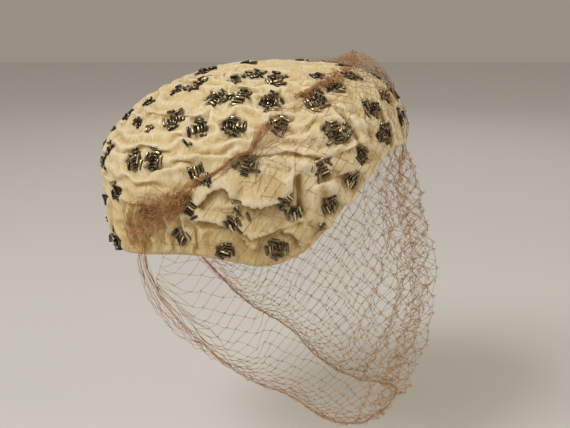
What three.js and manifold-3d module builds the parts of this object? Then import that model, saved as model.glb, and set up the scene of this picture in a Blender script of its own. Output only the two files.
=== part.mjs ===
// Crescent hat: a deep half cap of puffed ivory velvet, pinned down by heaps of bronze bugle beads,
// with a net veil drawn up along an arc over the crown and hanging round the face.
// Millimetres, +Z up, -Y to the wearer's front, +X to the wearer's left.
// The origin is the top of the head inside the crown, where the head holds the hat.
// A place on the hat is given by two angles in degrees: "round" is measured about +Z from the front
// towards the wearer's right, and "down" runs from the top of the crown, 90 at its widest level.

import * as THREE from 'three';
import { mergeVertices } from 'three/addons/utils/BufferGeometryUtils.js';
import Module from 'manifold-3d';

const wasm = await Module();
wasm.setup();

// ---------------------------------------------------------------- driving dimensions
const HEAD_WIDTH = 148;
const HEAD_FRONT = 95;
const HEAD_BACK = 101;
const PADDING = 8; // from the head out to the tops of the velvet puffs
const WIDEST_LEVEL = -59;
const PLAN_POWER = 2.15;
const SIDE_POWER = 2.25;
const FRONT_POWER = 3.6;
const BACK_POWER = 1.75;
const SIDE_TUCK = 0.04; // how much the wall draws in, 40 mm below its widest level
const BACK_TUCK = 0.012;
const TUCK_DEPTH = 40;

// Height of the hat's edge, from the front round to the back.
const RIM = [
  { round: 0, z: -47 },
  { round: 20, z: -44 },
  { round: 30, z: -48 },
  { round: 40, z: -61 },
  { round: 53, z: -83 },
  { round: 62, z: -99 },
  { round: 71, z: -109 },
  { round: 86, z: -115 },
  { round: 104, z: -111 },
  { round: 125, z: -108 },
  { round: 156, z: -115 },
  { round: 180, z: -118 },
];

// Bead heaps on the wearer's right. "turn" is the lie of the long axis, 0 level and 90 upright.
// The wearer's left repeats them, moved on a little so that the two sides aren't a mirror image.
const BEAD_HEAPS = [
  { round: 53, down: 69, beads: 16, turn: 100 },
  { round: 57, down: 47, beads: 14, turn: 20 },
  { round: 160, down: 117, beads: 14, turn: 60 },
  { round: 71, down: 26, beads: 12, turn: 30 },
  { round: 30, down: 77, beads: 12, turn: 95 },
  { round: 80, down: 45, beads: 12, turn: 0 },
  { round: 80, down: 119, beads: 12, turn: 10 },
  { round: 93, down: 80, beads: 12, turn: 75 },
  { round: 100, down: 60, beads: 12, turn: 0 },
  { round: 134, down: 78, beads: 12, turn: 85 },
  { round: 132, down: 56, beads: 12, turn: 30 },
  { round: 144, down: 79, beads: 12, turn: 110 },
  { round: 33, down: 60, beads: 11, turn: 110 },
  { round: 100, down: 41, beads: 10, turn: 80 },
  { round: 114, down: 42, beads: 10, turn: 60 },
  { round: 42, down: 37, beads: 10, turn: 0 },
  { round: 12, down: 73, beads: 9, turn: 80 },
  { round: 22, down: 31, beads: 9, turn: 0 },
  { round: 61, down: 85, beads: 9, turn: 120 },
  { round: 78, down: 60, beads: 9, turn: 50 },
  { round: 118, down: 61, beads: 9, turn: 20 },
  { round: 155, down: 97, beads: 9, turn: 100 },
  { round: 5, down: 57, beads: 9, turn: 90 },
  { round: 18, down: 55, beads: 8, turn: 90 },
  { round: -31, down: 13, beads: 8, turn: 0 },
  { round: 178, down: 5, beads: 8, turn: 0 },
  { round: 90, down: 20, beads: 8, turn: 45 },
  { round: 110, down: 25, beads: 8, turn: 130 },
  { round: 118, down: 100, beads: 8, turn: 60 },
  { round: 141, down: 34, beads: 8, turn: 20 },
  { round: 43, down: 83, beads: 7, turn: 40 },
  { round: 48, down: 90, beads: 7, turn: 130 },
  { round: 57, down: 100, beads: 7, turn: 30 },
  { round: 100, down: 107, beads: 7, turn: 20 },
  { round: 115, down: 84, beads: 7, turn: 30 },
  { round: 124, down: 113, beads: 7, turn: 140 },
  { round: 167, down: 86, beads: 7, turn: 90 },
  { round: 169, down: 103, beads: 7, turn: 90 },
  { round: 77, down: 97, beads: 7, turn: 40 },
  { round: 103, down: 120, beads: 7, turn: 80 },
  { round: -8, down: 22, beads: 6, turn: 0 },
  { round: -6, down: 68, beads: 6, turn: 90 },
  { round: 151, down: 38, beads: 6, turn: 0 },
  { round: 72, down: 102, beads: 6, turn: 150 },
  { round: 137, down: 104, beads: 6, turn: 90 },
  { round: 164, down: 76, beads: 5, turn: 60 },
  { round: 178, down: 68, beads: 5, turn: 90 },
  { round: 178, down: 21, beads: 5, turn: 0 },
  { round: -4, down: 42, beads: 5, turn: 0 },
  { round: 163, down: 47, beads: 5, turn: 0 },
  { round: 171, down: 57, beads: 5, turn: 30 },
  { round: 40, down: 24, beads: 5, turn: 30 },
  { round: 152, down: 59, beads: 4, turn: 40 },
  { round: 176, down: 113, beads: 4, turn: 90 },
];
const HEAP_NODES = 40;
const MIDDLE_ROUND = 10; // heaps nearer than this to the middle aren't repeated on the left
const HEAP_SPACING = 14; // nor are those that would come this near to another
const LEFT_SHIFT_ROUND = 4;
const LEFT_SHIFT_DOWN = 2;
const EDGE_MARGIN = 3; // degrees down that a heap stays above the edge
const BEAD_LENGTH = 5.5;
const BEAD_THICKNESS = 2;

// Raised edges and rolls of velvet between the heaps, each a line through a few places.
const FOLDS = [
  { what: 'long flap over the ear', high: 3, wide: 5,
    line: [[110, 92], [102, 91], [98, 96], [90, 98], [80, 98]] },
  { what: 'short flap behind it', high: 2.5, wide: 4,
    line: [[115, 106], [110, 105], [104, 108]] },
  { what: 'flap above the low heap', high: 2.5, wide: 4,
    line: [[80, 110], [73, 112], [69, 116]] },
  { what: 'puffy arch', high: 3.5, wide: 5,
    line: [[75, 88], [70, 83], [65, 85], [64, 91], [65, 98]] },
  { what: 'outer front ridge', high: 3, wide: 4,
    line: [[50, 50], [47, 58], [46, 66], [46, 74], [46, 84]] },
  { what: 'inner front ridge', high: 2.5, wide: 4,
    line: [[46, 60], [42, 70], [41, 80]] },
];
const FOLD_STEP = 2.5;
const PUFF_DEPTH = 4.5; // how far a heap pins the velvet down
const PUFF_REACH = 9;
const VELVET_LEVEL = 0.3;
const FOLD_RISE = 0.35; // the share of a fold that stands above the puffs; the rest is in the pinches

// The drawn-up edge of the net, from the top of the crown to the back edge on the wearer's right.
const GATHER = [
  { round: 0, down: 24, wide: 3.5, high: 3.5 },
  { round: 20, down: 27, wide: 4, high: 3.5 },
  { round: 42, down: 33, wide: 4, high: 4 },
  { round: 53, down: 38, wide: 6, high: 5 },
  { round: 63, down: 45, wide: 4.5, high: 4 },
  { round: 76, down: 55, wide: 3.5, high: 3 },
  { round: 87, down: 64, wide: 3, high: 3 },
  { round: 91, down: 73, wide: 4.5, high: 4.5 },
  { round: 99, down: 77, wide: 3, high: 3 },
  { round: 107, down: 84, wide: 2.5, high: 2.5 },
  { round: 116, down: 89, wide: 3.5, high: 3 },
  { round: 123, down: 96, wide: 7, high: 4 },
  { round: 130, down: 102, wide: 11, high: 5 },
  { round: 138, down: 107, wide: 14, high: 6 },
  { round: 146, down: 112, wide: 9, high: 5 },
];
const GATHER_SIDES = 8;
const GATHER_STEPS = 38;
const GATHER_HOLD = 4; // degrees round the hat, each way, over which the velvet holds it up
const degreesPerMillimetre = 0.7;
const GATHER_SEAT = 0.8; // above the rounded velvet, so that it clears the flat facets by the usual gap

// The lower edge of the hanging net.
const HEM = [
  { round: 0, z: -261, radius: 90 },
  { round: 22, z: -256, radius: 81 },
  { round: 44, z: -240, radius: 69 },
  { round: 69, z: -216, radius: 62 },
  { round: 100, z: -196, radius: 65 },
  { round: 119, z: -170, radius: 78 },
  { round: 132, z: -130, radius: 96 },
];
const NET_END_ROUND = 132;
const NET_LIFT = 5;
const NET_LIFT_REACHED = 0.1; // share of the way from gather to edge
const NET_PUFF = 11; // how high the net stands up in front of its gather, on top of the crown
const NET_PUFF_ROUND = 32;
const NET_PUFF_END = 0.75; // where the puff is over, as a share of the way from gather to edge
const NET_FRONT_BULGE = 27.5;
const NET_SIDE_BULGE = 3;
const NET_COLUMNS = 20;
const NET_ROWS = 9;
const NET_CROWDING = 1.25; // above 1, the columns stand closer together at the front
const NET_THICKNESS = 1.2;
const NET_BAR = 2.2;

// The one piece of netting is given as open panels a small gap apart: one over the crown, two before
// the brow, two before the chin and one at each side.
const NET_PANELS = [
  { name: 'veil_net_top', from: -49.9, to: 49.9, low: -47.8, high: 50 },
  { name: 'veil_net_brow_right', from: 0.1, to: 49.9, low: -154.8, high: -48.1 },
  { name: 'veil_net_brow_left', from: -49.9, to: -0.1, low: -154.8, high: -48.1 },
  { name: 'veil_net_chin_right', from: 0.1, to: 49.9, low: -300, high: -155.1 },
  { name: 'veil_net_chin_left', from: -49.9, to: -0.1, low: -300, high: -155.1 },
  { name: 'veil_net_right', from: 50.1, to: 170, low: -300, high: 50 },
  { name: 'veil_net_left', from: -170, to: -50.1, low: -300, high: 50 },
];
const PANEL_REACH = 300;
const PANEL_STEPS = 12;

const GAP = 0.3; // between a piece and what carries it

const VELVET = { color: 0xdccca2, roughness: 0.9, metalness: 0 };
const BEAD = { color: 0x2e2a1d, roughness: 0.25, metalness: 0.6 };
const NET = { color: 0x9a6b46, roughness: 0.8, metalness: 0 };
const NET_GATHERED = { color: 0x965a2e, roughness: 0.85, metalness: 0 };

// ---------------------------------------------------------------- small tools
const radians = THREE.MathUtils.degToRad;
const model = new THREE.Group();

// Value of one column of a table at a place round the hat, eased between its rows.
function tableValue(rows, column, round) {
  const place = Math.abs(THREE.MathUtils.euclideanModulo(round + 180, 360) - 180);
  const last = rows[rows.length - 1];
  if (place >= last.round) {
    return last[column];
  }
  const next = rows.findIndex((row) => row.round > place);
  const from = rows[next - 1];
  const to = rows[next];
  const part = (place - from.round) / (to.round - from.round);
  const before = rows[next - 2] ?? rows[next];
  const after = rows[next + 1] ?? rows[next - 1];
  const slopeIn = (to[column] - before[column]) / (to.round - (next > 1 ? before.round : -to.round));
  const slopeOut = (after[column] - from[column]) / Math.max(after.round - from.round, 1);
  return hermite(from[column], to[column], slopeIn, slopeOut, part, to.round - from.round);
}

function hermite(start, end, slopeIn, slopeOut, part, span) {
  const square = part * part;
  const cube = square * part;
  return (2 * cube - 3 * square + 1) * start + (3 * square - 2 * cube) * end
    + ((cube - 2 * square + part) * slopeIn + (cube - square) * slopeOut) * span;
}

function addPiece(name, geometry, look) {
  const mesh = new THREE.Mesh(geometry, new THREE.MeshStandardMaterial(look));
  mesh.name = name;
  model.add(mesh);
}

function toSolid(geometry) {
  geometry.deleteAttribute('normal');
  geometry.deleteAttribute('uv');
  const merged = mergeVertices(geometry, 1e-4);
  const vertProperties = new Float32Array(merged.attributes.position.array);
  const triVerts = new Uint32Array(merged.index.array);
  return new wasm.Manifold(new wasm.Mesh({ numProp: 3, vertProperties, triVerts }));
}

function toGeometry(solid) {
  const mesh = solid.getMesh();
  const geometry = new THREE.BufferGeometry();
  geometry.setAttribute('position', new THREE.BufferAttribute(mesh.vertProperties, mesh.numProp));
  geometry.setIndex(new THREE.BufferAttribute(mesh.triVerts, 1));
  return geometry;
}

// A closed skin over rings of points that all have the same count, with a point at each end.
// Seen from the last ring, every ring runs anticlockwise.
function skinRings(rings, firstPoint, lastPoint) {
  const count = rings[0].length;
  const points = [firstPoint, ...rings.flat(), lastPoint];
  const faces = [];
  const at = (ring, k) => 1 + ring * count + (k % count);
  for (let k = 0; k < count; k += 1) {
    faces.push(0, at(0, k + 1), at(0, k));
    faces.push(points.length - 1, at(rings.length - 1, k), at(rings.length - 1, k + 1));
    for (let ring = 0; ring < rings.length - 1; ring += 1) {
      faces.push(at(ring, k), at(ring + 1, k + 1), at(ring + 1, k));
      faces.push(at(ring, k), at(ring, k + 1), at(ring + 1, k + 1));
    }
  }
  const geometry = new THREE.BufferGeometry().setFromPoints(points);
  geometry.setIndex(faces);
  return geometry;
}

// ---------------------------------------------------------------- the form of the hat
// A point on the surface that touches the tops of the puffs.
function hullPoint(round, down) {
  const cos = Math.cos(radians(round));
  const sin = Math.sin(radians(round));
  const length = (cos > 0 ? HEAD_FRONT : HEAD_BACK) + PADDING;
  const halfWidth = HEAD_WIDTH / 2 + PADDING;
  const reach = Math.abs(cos / length) ** PLAN_POWER + Math.abs(sin / halfWidth) ** PLAN_POWER;
  const plan = reach ** (-1 / PLAN_POWER);
  const power = SIDE_POWER + ((cos > 0 ? FRONT_POWER : BACK_POWER) - SIDE_POWER) * cos * cos;
  const angle = radians(Math.min(down, 90));
  const below = radians(Math.max(down - 90, 0)) * plan;
  const height = PADDING - WIDEST_LEVEL;
  const z = WIDEST_LEVEL + height * Math.cos(angle) ** (2 / power) - below;
  const tuck = cos > 0 ? SIDE_TUCK : SIDE_TUCK + (BACK_TUCK - SIDE_TUCK) * cos * cos;
  const draw = 1 - tuck * (below / TUCK_DEPTH) ** 2;
  const radius = plan * Math.sin(angle) ** (2 / power) * draw;
  return new THREE.Vector3(-radius * sin, -radius * cos, z);
}

function hullNormal(round, down) {
  const step = 0.5;
  const safeDown = Math.max(down, 2 * step);
  const across = hullPoint(round + step, safeDown).sub(hullPoint(round - step, safeDown));
  const along = hullPoint(round, safeDown + step).sub(hullPoint(round, safeDown - step));
  return across.cross(along).normalize();
}

function onHull(round, down, lift) {
  return hullPoint(round, down).addScaledVector(hullNormal(round, down), lift);
}

// How far "down" the hat's edge lies at a place round it, found by halving.
function rimDown(round) {
  const level = tableValue(RIM, 'z', round);
  let low = 20;
  let high = 150;
  for (let pass = 0; pass < 30; pass += 1) {
    const middle = (low + high) / 2;
    if (hullPoint(round, middle).z > level) {
      low = middle;
    } else {
      high = middle;
    }
  }
  return (low + high) / 2;
}

// ---------------------------------------------------------------- where the heaps and folds are
function heapDistance(one, other) {
  return hullPoint(one.round, one.down).distanceTo(hullPoint(other.round, other.down));
}

const leftHeaps = BEAD_HEAPS
  .filter((heap) => heap.round > MIDDLE_ROUND && heap.round < 180 - MIDDLE_ROUND)
  .map((heap) => {
    const round = -heap.round + LEFT_SHIFT_ROUND;
    return { ...heap, round, down: Math.min(heap.down + LEFT_SHIFT_DOWN, rimDown(round) - EDGE_MARGIN) };
  })
  .filter((heap) => BEAD_HEAPS.every((other) => heapDistance(heap, other) > HEAP_SPACING));
const heaps = [...BEAD_HEAPS, ...leftHeaps];
const tuftPoints = heaps.map((heap) => hullPoint(heap.round, heap.down));

// The lines of the folds as points a few millimetres apart, on both sides of the hat.
const foldPoints = FOLDS.flatMap((fold) => [1, -1].flatMap((side) => {
  const corners = fold.line.map(([round, down]) => hullPoint(side * round, down));
  const curve = new THREE.CatmullRomCurve3(corners);
  const count = Math.ceil(curve.getLength() / FOLD_STEP);
  return curve.getSpacedPoints(count).map((point) => ({ point, high: fold.high, wide: fold.wide }));
}));

function velvetLift(point) {
  let pinned = 0;
  for (const tuft of tuftPoints) {
    pinned += Math.exp(-((point.distanceTo(tuft) / PUFF_REACH) ** 4));
  }
  let raised = 0;
  for (const fold of foldPoints) {
    raised = Math.max(raised, fold.high * Math.exp(-((point.distanceTo(fold.point) / fold.wide) ** 2)));
  }
  const sunk = PUFF_DEPTH * Math.min(pinned, 1) - raised * (1 - FOLD_RISE);
  return VELVET_LEVEL - Math.max(sunk, 0) + raised * FOLD_RISE;
}

// ---------------------------------------------------------------- crown
const CROWN_SIDES = 76;
const CROWN_RINGS = 24;
const LINING_RINGS = 4;
const EDGE_THICKNESS = 4;
const EDGE_TURN = 1.012; // how far the turned edge reaches past the last ring
const SMALL_HEAP_HEIGHT = 3;

function crownRing(part, lift) {
  return Array.from({ length: CROWN_SIDES }, (_, k) => {
    const round = (360 * k) / CROWN_SIDES;
    return onHull(round, rimDown(round) * part, lift(round, part));
  });
}

function velvetSurface(round, part) {
  const hull = hullPoint(round, rimDown(round) * part);
  const nearEdge = THREE.MathUtils.smoothstep(part, 0.93, 1);
  return THREE.MathUtils.lerp(velvetLift(hull), EDGE_THICKNESS - PADDING, nearEdge);
}

function nearestPoint(points, place) {
  return points.reduce((best, point) => (point.distanceTo(place) < best.distanceTo(place) ? point : best));
}

// The velvet's surface grown outwards by a little, its small heaps raised as blunt points on it.
function velvetRings(growth) {
  const rings = [];
  for (let ring = 1; ring <= CROWN_RINGS; ring += 1) {
    rings.push(crownRing(ring / CROWN_RINGS, (round, part) => velvetSurface(round, part) + growth));
  }
  heaps.slice(HEAP_NODES).forEach((heap) => {
    const level = velvetLift(hullPoint(heap.round, heap.down)) + SMALL_HEAP_HEIGHT + growth;
    const summit = onHull(heap.round, heap.down, level);
    nearestPoint(rings.flat(), summit).copy(summit);
  });
  rings.push(crownRing(EDGE_TURN, () => EDGE_THICKNESS / 2 - PADDING));
  return rings;
}

// The outer velvet, then the turned edge, then the smooth inside back up to the top.
function makeCrown() {
  const rings = velvetRings(0);
  for (let ring = LINING_RINGS; ring >= 1; ring -= 1) {
    rings.push(crownRing(ring / LINING_RINGS, () => -PADDING));
  }
  return skinRings(rings, hullPoint(0, 0).setZ(PADDING + VELVET_LEVEL), new THREE.Vector3(0, 0, 0));
}

// The same outside filled below, a gap larger, to seat what rests on it.
function makeCrownBlock() {
  const top = hullPoint(0, 0).setZ(PADDING + VELVET_LEVEL + GAP);
  return toSolid(skinRings(velvetRings(GAP), top, new THREE.Vector3(0, 0, WIDEST_LEVEL)));
}

// ---------------------------------------------------------------- beads
// Four beads lapped in the middle, in a lie that differs a little from heap to heap.
const HEAP_LAYOUT = [
  { along: -2.6, across: 0.3, turn: 12 },
  { along: 2.6, across: -0.3, turn: -14 },
  { along: -0.4, across: 2.5, turn: 80 },
  { along: 0.6, across: -2.5, turn: 65 },
];
const SEAT_STEP = 0.2;
const BEAD_SWING = 10; // degrees by which a bead's lie differs from the layout

function heapFrame(heap, lift) {
  const normal = hullNormal(heap.round, heap.down);
  const level = new THREE.Vector3(0, 0, 1).cross(normal).normalize();
  const frame = new THREE.Matrix4().makeBasis(level, normal.clone().cross(level), normal);
  return frame.setPosition(onHull(heap.round, heap.down, lift));
}

function lappedBeads(heap, number, growth) {
  return HEAP_LAYOUT.map((bead, k) => {
    const swing = BEAD_SWING * Math.sin(3 * number + 2 * k);
    const thickness = BEAD_THICKNESS + 2 * growth;
    const bar = new THREE.BoxGeometry(BEAD_LENGTH + 2 * growth, thickness, thickness);
    bar.rotateZ(radians(bead.turn + swing));
    bar.translate(bead.along, bead.across, 0);
    bar.rotateZ(radians(heap.turn));
    return toSolid(bar);
  }).reduce((sum, bar) => sum.add(bar));
}

// The heap is raised in small steps until all its beads clear the velvet.
function seatHeap(heap, number, block) {
  const beads = lappedBeads(heap, number, 0);
  let lift = velvetLift(hullPoint(heap.round, heap.down)) + BEAD_THICKNESS / 2;
  let frame = heapFrame(heap, lift);
  while (!beads.transform(frame.elements).intersect(block).isEmpty()) {
    lift += SEAT_STEP;
    frame = heapFrame(heap, lift);
  }
  const space = lappedBeads(heap, number, GAP).transform(frame.elements);
  return { beads: beads.transform(frame.elements), space };
}

// ---------------------------------------------------------------- the net
function gatherDown(round) {
  return tableValue(GATHER, 'down', round);
}

// The line of one strand, from the gather over the velvet to the edge and on down to the hem.
function strandLine(round) {
  const points = [];
  const steps = 14;
  const top = gatherDown(round);
  const edge = Math.max(rimDown(round), top + 4);
  const puffWidth = Math.exp(-((round / NET_PUFF_ROUND) ** 2));
  const gatherMiddle = tableValue(GATHER, 'high', round) / 2;
  const gatherLift = restingLift(round, top, tableValue(GATHER, 'wide', round)) + GATHER_SEAT + gatherMiddle;
  for (let k = 0; k <= steps; k += 1) {
    const part = k / steps;
    const puff = NET_PUFF * puffWidth * Math.sin(Math.PI * Math.min(part / NET_PUFF_END, 1) ** 0.6);
    const lift = THREE.MathUtils.lerp(gatherLift, NET_LIFT, Math.min(part / NET_LIFT_REACHED, 1));
    points.push(onHull(round, top + (edge - top) * part, lift + puff));
  }
  const start = points[points.length - 1];
  const startRadius = Math.hypot(start.x, start.y);
  const hemRadius = tableValue(HEM, 'radius', round);
  const hemLevel = tableValue(HEM, 'z', round);
  const facing = Math.max(Math.cos(radians(round)), 0);
  const bulge = NET_SIDE_BULGE + NET_FRONT_BULGE * facing ** 3;
  for (let k = 1; k <= steps; k += 1) {
    const part = k / steps;
    const radius = startRadius + (hemRadius - startRadius) * part + bulge * Math.sin(Math.PI * part ** 1.22);
    const z = start.z + (hemLevel - start.z) * part;
    points.push(new THREE.Vector3(-radius * Math.sin(radians(round)), -radius * Math.cos(radians(round)), z));
  }
  return new THREE.CatmullRomCurve3(points);
}

function netRound(column) {
  const across = (2 * column) / NET_COLUMNS - 1;
  return NET_END_ROUND * Math.sign(across) * Math.abs(across) ** NET_CROWDING;
}

function makeNetKnots() {
  const columns = [];
  for (let column = 0; column <= NET_COLUMNS; column += 1) {
    columns.push(strandLine(netRound(column)).getSpacedPoints(NET_ROWS));
  }
  return columns.map((points, column) => points.map((point, row) => {
    const left = columns[Math.max(column - 1, 0)][row];
    const right = columns[Math.min(column + 1, NET_COLUMNS)][row];
    const above = points[Math.max(row - 1, 0)];
    const below = points[Math.min(row + 1, NET_ROWS)];
    const out = below.clone().sub(above).cross(right.clone().sub(left)).normalize();
    return [point.clone().addScaledVector(out, NET_THICKNESS / 2),
      point.clone().addScaledVector(out, -NET_THICKNESS / 2)];
  }));
}

// The meshes of the net as lists of [column, row] corners: whole diamonds, and halves at the ends and
// the hem. Along the top the open points run into the gather.
function netMeshes() {
  const meshes = [];
  const inside = ([column, row]) => column >= 0 && column <= NET_COLUMNS && row >= 0 && row <= NET_ROWS;
  for (let column = 0; column <= NET_COLUMNS; column += 1) {
    for (let row = 1; row <= NET_ROWS; row += 1) {
      if ((column + row) % 2 === 1) {
        const corners = [[column, row - 1], [column + 1, row], [column, row + 1], [column - 1, row]];
        const kept = corners.filter(inside);
        if (kept.length >= 3) {
          meshes.push(kept);
        }
      }
    }
  }
  return meshes;
}

// Every mesh becomes a flat frame round its gap, on both faces, with walls round gap and border.
function makeNet() {
  const knots = makeNetKnots();
  const triangles = [];
  const borderEdges = new Map();
  const quad = (a, b, c, d) => triangles.push(a, b, c, a, c, d);
  for (const corners of netMeshes()) {
    const sides = [0, 1].map((face) => corners.map(([column, row]) => knots[column][row][face]));
    const gaps = sides.map((points) => insetCorners(points));
    corners.forEach((corner, k) => {
      const next = (k + 1) % corners.length;
      quad(sides[0][k], gaps[0][k], gaps[0][next], sides[0][next]);
      quad(sides[1][k], sides[1][next], gaps[1][next], gaps[1][k]);
      quad(gaps[0][k], gaps[1][k], gaps[1][next], gaps[0][next]);
      const forward = `${corner}|${corners[next]}`;
      const backward = `${corners[next]}|${corner}`;
      if (borderEdges.has(backward)) {
        borderEdges.delete(backward);
      } else {
        borderEdges.set(forward, [sides[0][k], sides[0][next], sides[1][next], sides[1][k]]);
      }
    });
  }
  borderEdges.forEach((wall) => quad(...wall));
  const geometry = new THREE.BufferGeometry().setFromPoints(triangles);
  return mergeVertices(geometry, 1e-4);
}

function insetCorners(points) {
  const middle = ringMiddle(points);
  let inner = Infinity;
  points.forEach((point, k) => {
    const line = new THREE.Line3(point, points[(k + 1) % points.length]);
    const foot = line.closestPointToPoint(middle, true, new THREE.Vector3());
    inner = Math.min(inner, foot.distanceTo(middle));
  });
  const keep = 1 - Math.min(NET_BAR / 2 / inner, 0.6);
  return points.map((point) => middle.clone().lerp(point, keep));
}

// The slice of space that one panel of the net lies in, spread about +Z.
function panelSpace({ from, to, low, high }) {
  const outline = new THREE.Shape();
  outline.moveTo(0, 0);
  for (let k = 0; k <= PANEL_STEPS; k += 1) {
    const round = radians(from + ((to - from) * k) / PANEL_STEPS);
    outline.lineTo(-PANEL_REACH * Math.sin(round), -PANEL_REACH * Math.cos(round));
  }
  const space = new THREE.ExtrudeGeometry(outline, { depth: high - low, bevelEnabled: false });
  space.translate(0, 0, low);
  return toSolid(space);
}

// ---------------------------------------------------------------- the drawn-up edge of the net
// It rests on the tops of the puffs, so each section stands on the highest velvet beside it.
function restingLift(round, down, wide) {
  let highest = -PADDING;
  for (let side = -1; side <= 1; side += 0.5) {
    for (let step = -1; step <= 1; step += 0.5) {
      const place = hullPoint(round + GATHER_HOLD * step, down + degreesPerMillimetre * wide * side);
      highest = Math.max(highest, velvetLift(place));
    }
  }
  return highest;
}

function makeGather(growth) {
  const lastRound = GATHER[GATHER.length - 1].round;
  const places = Array.from({ length: GATHER_STEPS + 1 }, (_, step) => {
    const round = lastRound * ((2 * step) / GATHER_STEPS - 1);
    const taper = step === 0 || step === GATHER_STEPS ? 0.7 : 1;
    const wide = tableValue(GATHER, 'wide', round) * taper;
    const high = tableValue(GATHER, 'high', round) * taper;
    const down = gatherDown(round);
    const foot = onHull(round, down, restingLift(round, down, wide) + GATHER_SEAT);
    return { round, down, wide, high, foot };
  });
  const rings = places.map(({ round, down, wide, high, foot }, step) => {
    const before = places[Math.max(step - 1, 0)].foot;
    const after = places[Math.min(step + 1, GATHER_STEPS)].foot;
    const normal = hullNormal(round, down);
    const across = after.clone().sub(before).cross(normal).normalize();
    return Array.from({ length: GATHER_SIDES }, (_, k) => {
      const angle = (-2 * Math.PI * (k + 0.5)) / GATHER_SIDES;
      const rise = high / 2 + (high / 2 + growth) * Math.sin(angle);
      return foot.clone().addScaledVector(across, (wide + growth) * Math.cos(angle))
        .addScaledVector(normal, rise);
    });
  });
  return toSolid(skinRings(rings, ringMiddle(rings[0]), ringMiddle(rings[GATHER_STEPS])));
}

function ringMiddle(ring) {
  return ring.reduce((sum, point) => sum.add(point), new THREE.Vector3()).divideScalar(ring.length);
}

// ---------------------------------------------------------------- assembly
const block = makeCrownBlock();
const gatherSpace = makeGather(GAP);
let net = toSolid(makeNet()).subtract(gatherSpace).subtract(block);
addPiece('crown', makeCrown(), VELVET);
addPiece('veil_gather', toGeometry(makeGather(0)), NET_GATHERED);
heaps.slice(0, HEAP_NODES).forEach((heap, k) => {
  const seated = seatHeap(heap, k, block);
  net = net.subtract(seated.space);
  const name = `bead_cluster_${String(k + 1).padStart(2, '0')}`;
  addPiece(name, toGeometry(seated.beads.subtract(gatherSpace)), BEAD);
});
NET_PANELS.forEach((panel) => {
  const parts = net.intersect(panelSpace(panel)).decompose(); // a bar cut off at both ends is dropped
  const largest = parts.reduce((best, part) => (part.volume() > best.volume() ? part : best));
  addPiece(panel.name, toGeometry(largest), NET);
});

export default model;
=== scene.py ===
"""A crescent hat: a deep half cap of puffed ivory velvet, caught down by heaps of bronze bugle beads,
with a tan net veil drawn up over the crown and hanging round the face. Metres, +Z up, -Y to the front.

A place on the hat is given by two angles in degrees: "around" is measured about +Z from the front
towards the wearer's right, and "down" runs from the top of the crown, 90 at its widest level."""
import math

import bpy
import numpy as np
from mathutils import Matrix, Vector, noise
from mathutils.kdtree import KDTree


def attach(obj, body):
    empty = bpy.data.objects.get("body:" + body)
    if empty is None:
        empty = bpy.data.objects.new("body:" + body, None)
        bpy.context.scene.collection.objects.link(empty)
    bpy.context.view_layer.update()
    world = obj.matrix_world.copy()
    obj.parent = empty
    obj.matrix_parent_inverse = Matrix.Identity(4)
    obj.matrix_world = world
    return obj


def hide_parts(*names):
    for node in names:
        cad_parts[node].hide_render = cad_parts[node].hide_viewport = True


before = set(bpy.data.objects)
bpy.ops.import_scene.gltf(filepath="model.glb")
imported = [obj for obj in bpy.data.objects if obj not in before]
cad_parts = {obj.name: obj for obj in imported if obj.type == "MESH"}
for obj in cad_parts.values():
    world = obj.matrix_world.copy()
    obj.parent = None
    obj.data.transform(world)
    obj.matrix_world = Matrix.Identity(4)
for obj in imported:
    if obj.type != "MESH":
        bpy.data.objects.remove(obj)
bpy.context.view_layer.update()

# ---------------------------------------------------------------- camera
# It looks at the wearer's right side from a little above, about 0.6 m away.
CAMERA_PLACE = (-0.594, -0.019, 0.070)
CAMERA_PITCH = 16
CAMERA_LENS = 53.7

lens = bpy.data.cameras.new("camera")
lens.lens = CAMERA_LENS
lens.sensor_width = 36
camera = bpy.data.objects.new("camera", lens)
camera.location = CAMERA_PLACE
camera.rotation_euler = (math.radians(90 - CAMERA_PITCH), 0, math.radians(-90))
bpy.context.collection.objects.link(camera)
bpy.context.scene.camera = camera

# ---------------------------------------------------------------- velvet crown
# The crown is cotton velvet over a stiffened, padded foundation. The velvet is cut too large, tucked
# by hand and sewn down under every heap of beads, so it stands up between them in puffs and folds.
# The edge is turned to the inside.
MM = 0.001
HEAD_WIDTH = 0.148
HEAD_FRONT = 0.095
HEAD_BACK = 0.101
PADDING = 0.008
WIDEST_LEVEL = -0.059
PLAN_POWER = 2.15  # the outline from above: 2 is an ellipse, and more is squarer
SIDE_POWER = 2.25  # the same for the outline down the side, the front and the back
FRONT_POWER = 3.6
BACK_POWER = 1.75
SIDE_TUCK = 0.04  # the share by which it narrows at TUCK_DEPTH below its widest level
BACK_TUCK = 0.012
TUCK_DEPTH = 0.040
SLOPE_STEP = 0.5  # degrees to each side, over which the slope of the surface is taken

# around, level of the edge in mm
RIM = [(0, -47), (20, -44), (30, -48), (40, -61), (53, -83), (62, -99), (71, -109), (86, -115),
       (104, -111), (125, -108), (156, -115), (180, -118)]
RIM_SEARCH = (20.0, 150.0)  # degrees down, between which the edge is looked for
HALVINGS = 26


def eased(table, column, around):
    """One column of a table at places round the hat, eased between its rows and alike on both sides."""
    rows = np.array(table, float)
    at, value = rows[:, 0], rows[:, column]
    slope = np.zeros(len(at))
    slope[1:-1] = (value[2:] - value[:-2]) / (at[2:] - at[:-2])
    place = np.minimum(np.abs((np.asarray(around, float) + 180) % 360 - 180), at[-1])
    k = np.clip(np.searchsorted(at, place, side="right") - 1, 0, len(at) - 2)
    span = at[k + 1] - at[k]
    t = (place - at[k]) / span
    ease = 3 * t**2 - 2 * t**3
    return (value[k] * (1 - ease) + value[k + 1] * ease
            + span * ((t**3 - 2 * t**2 + t) * slope[k] + (t**3 - t**2) * slope[k + 1]))


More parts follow.
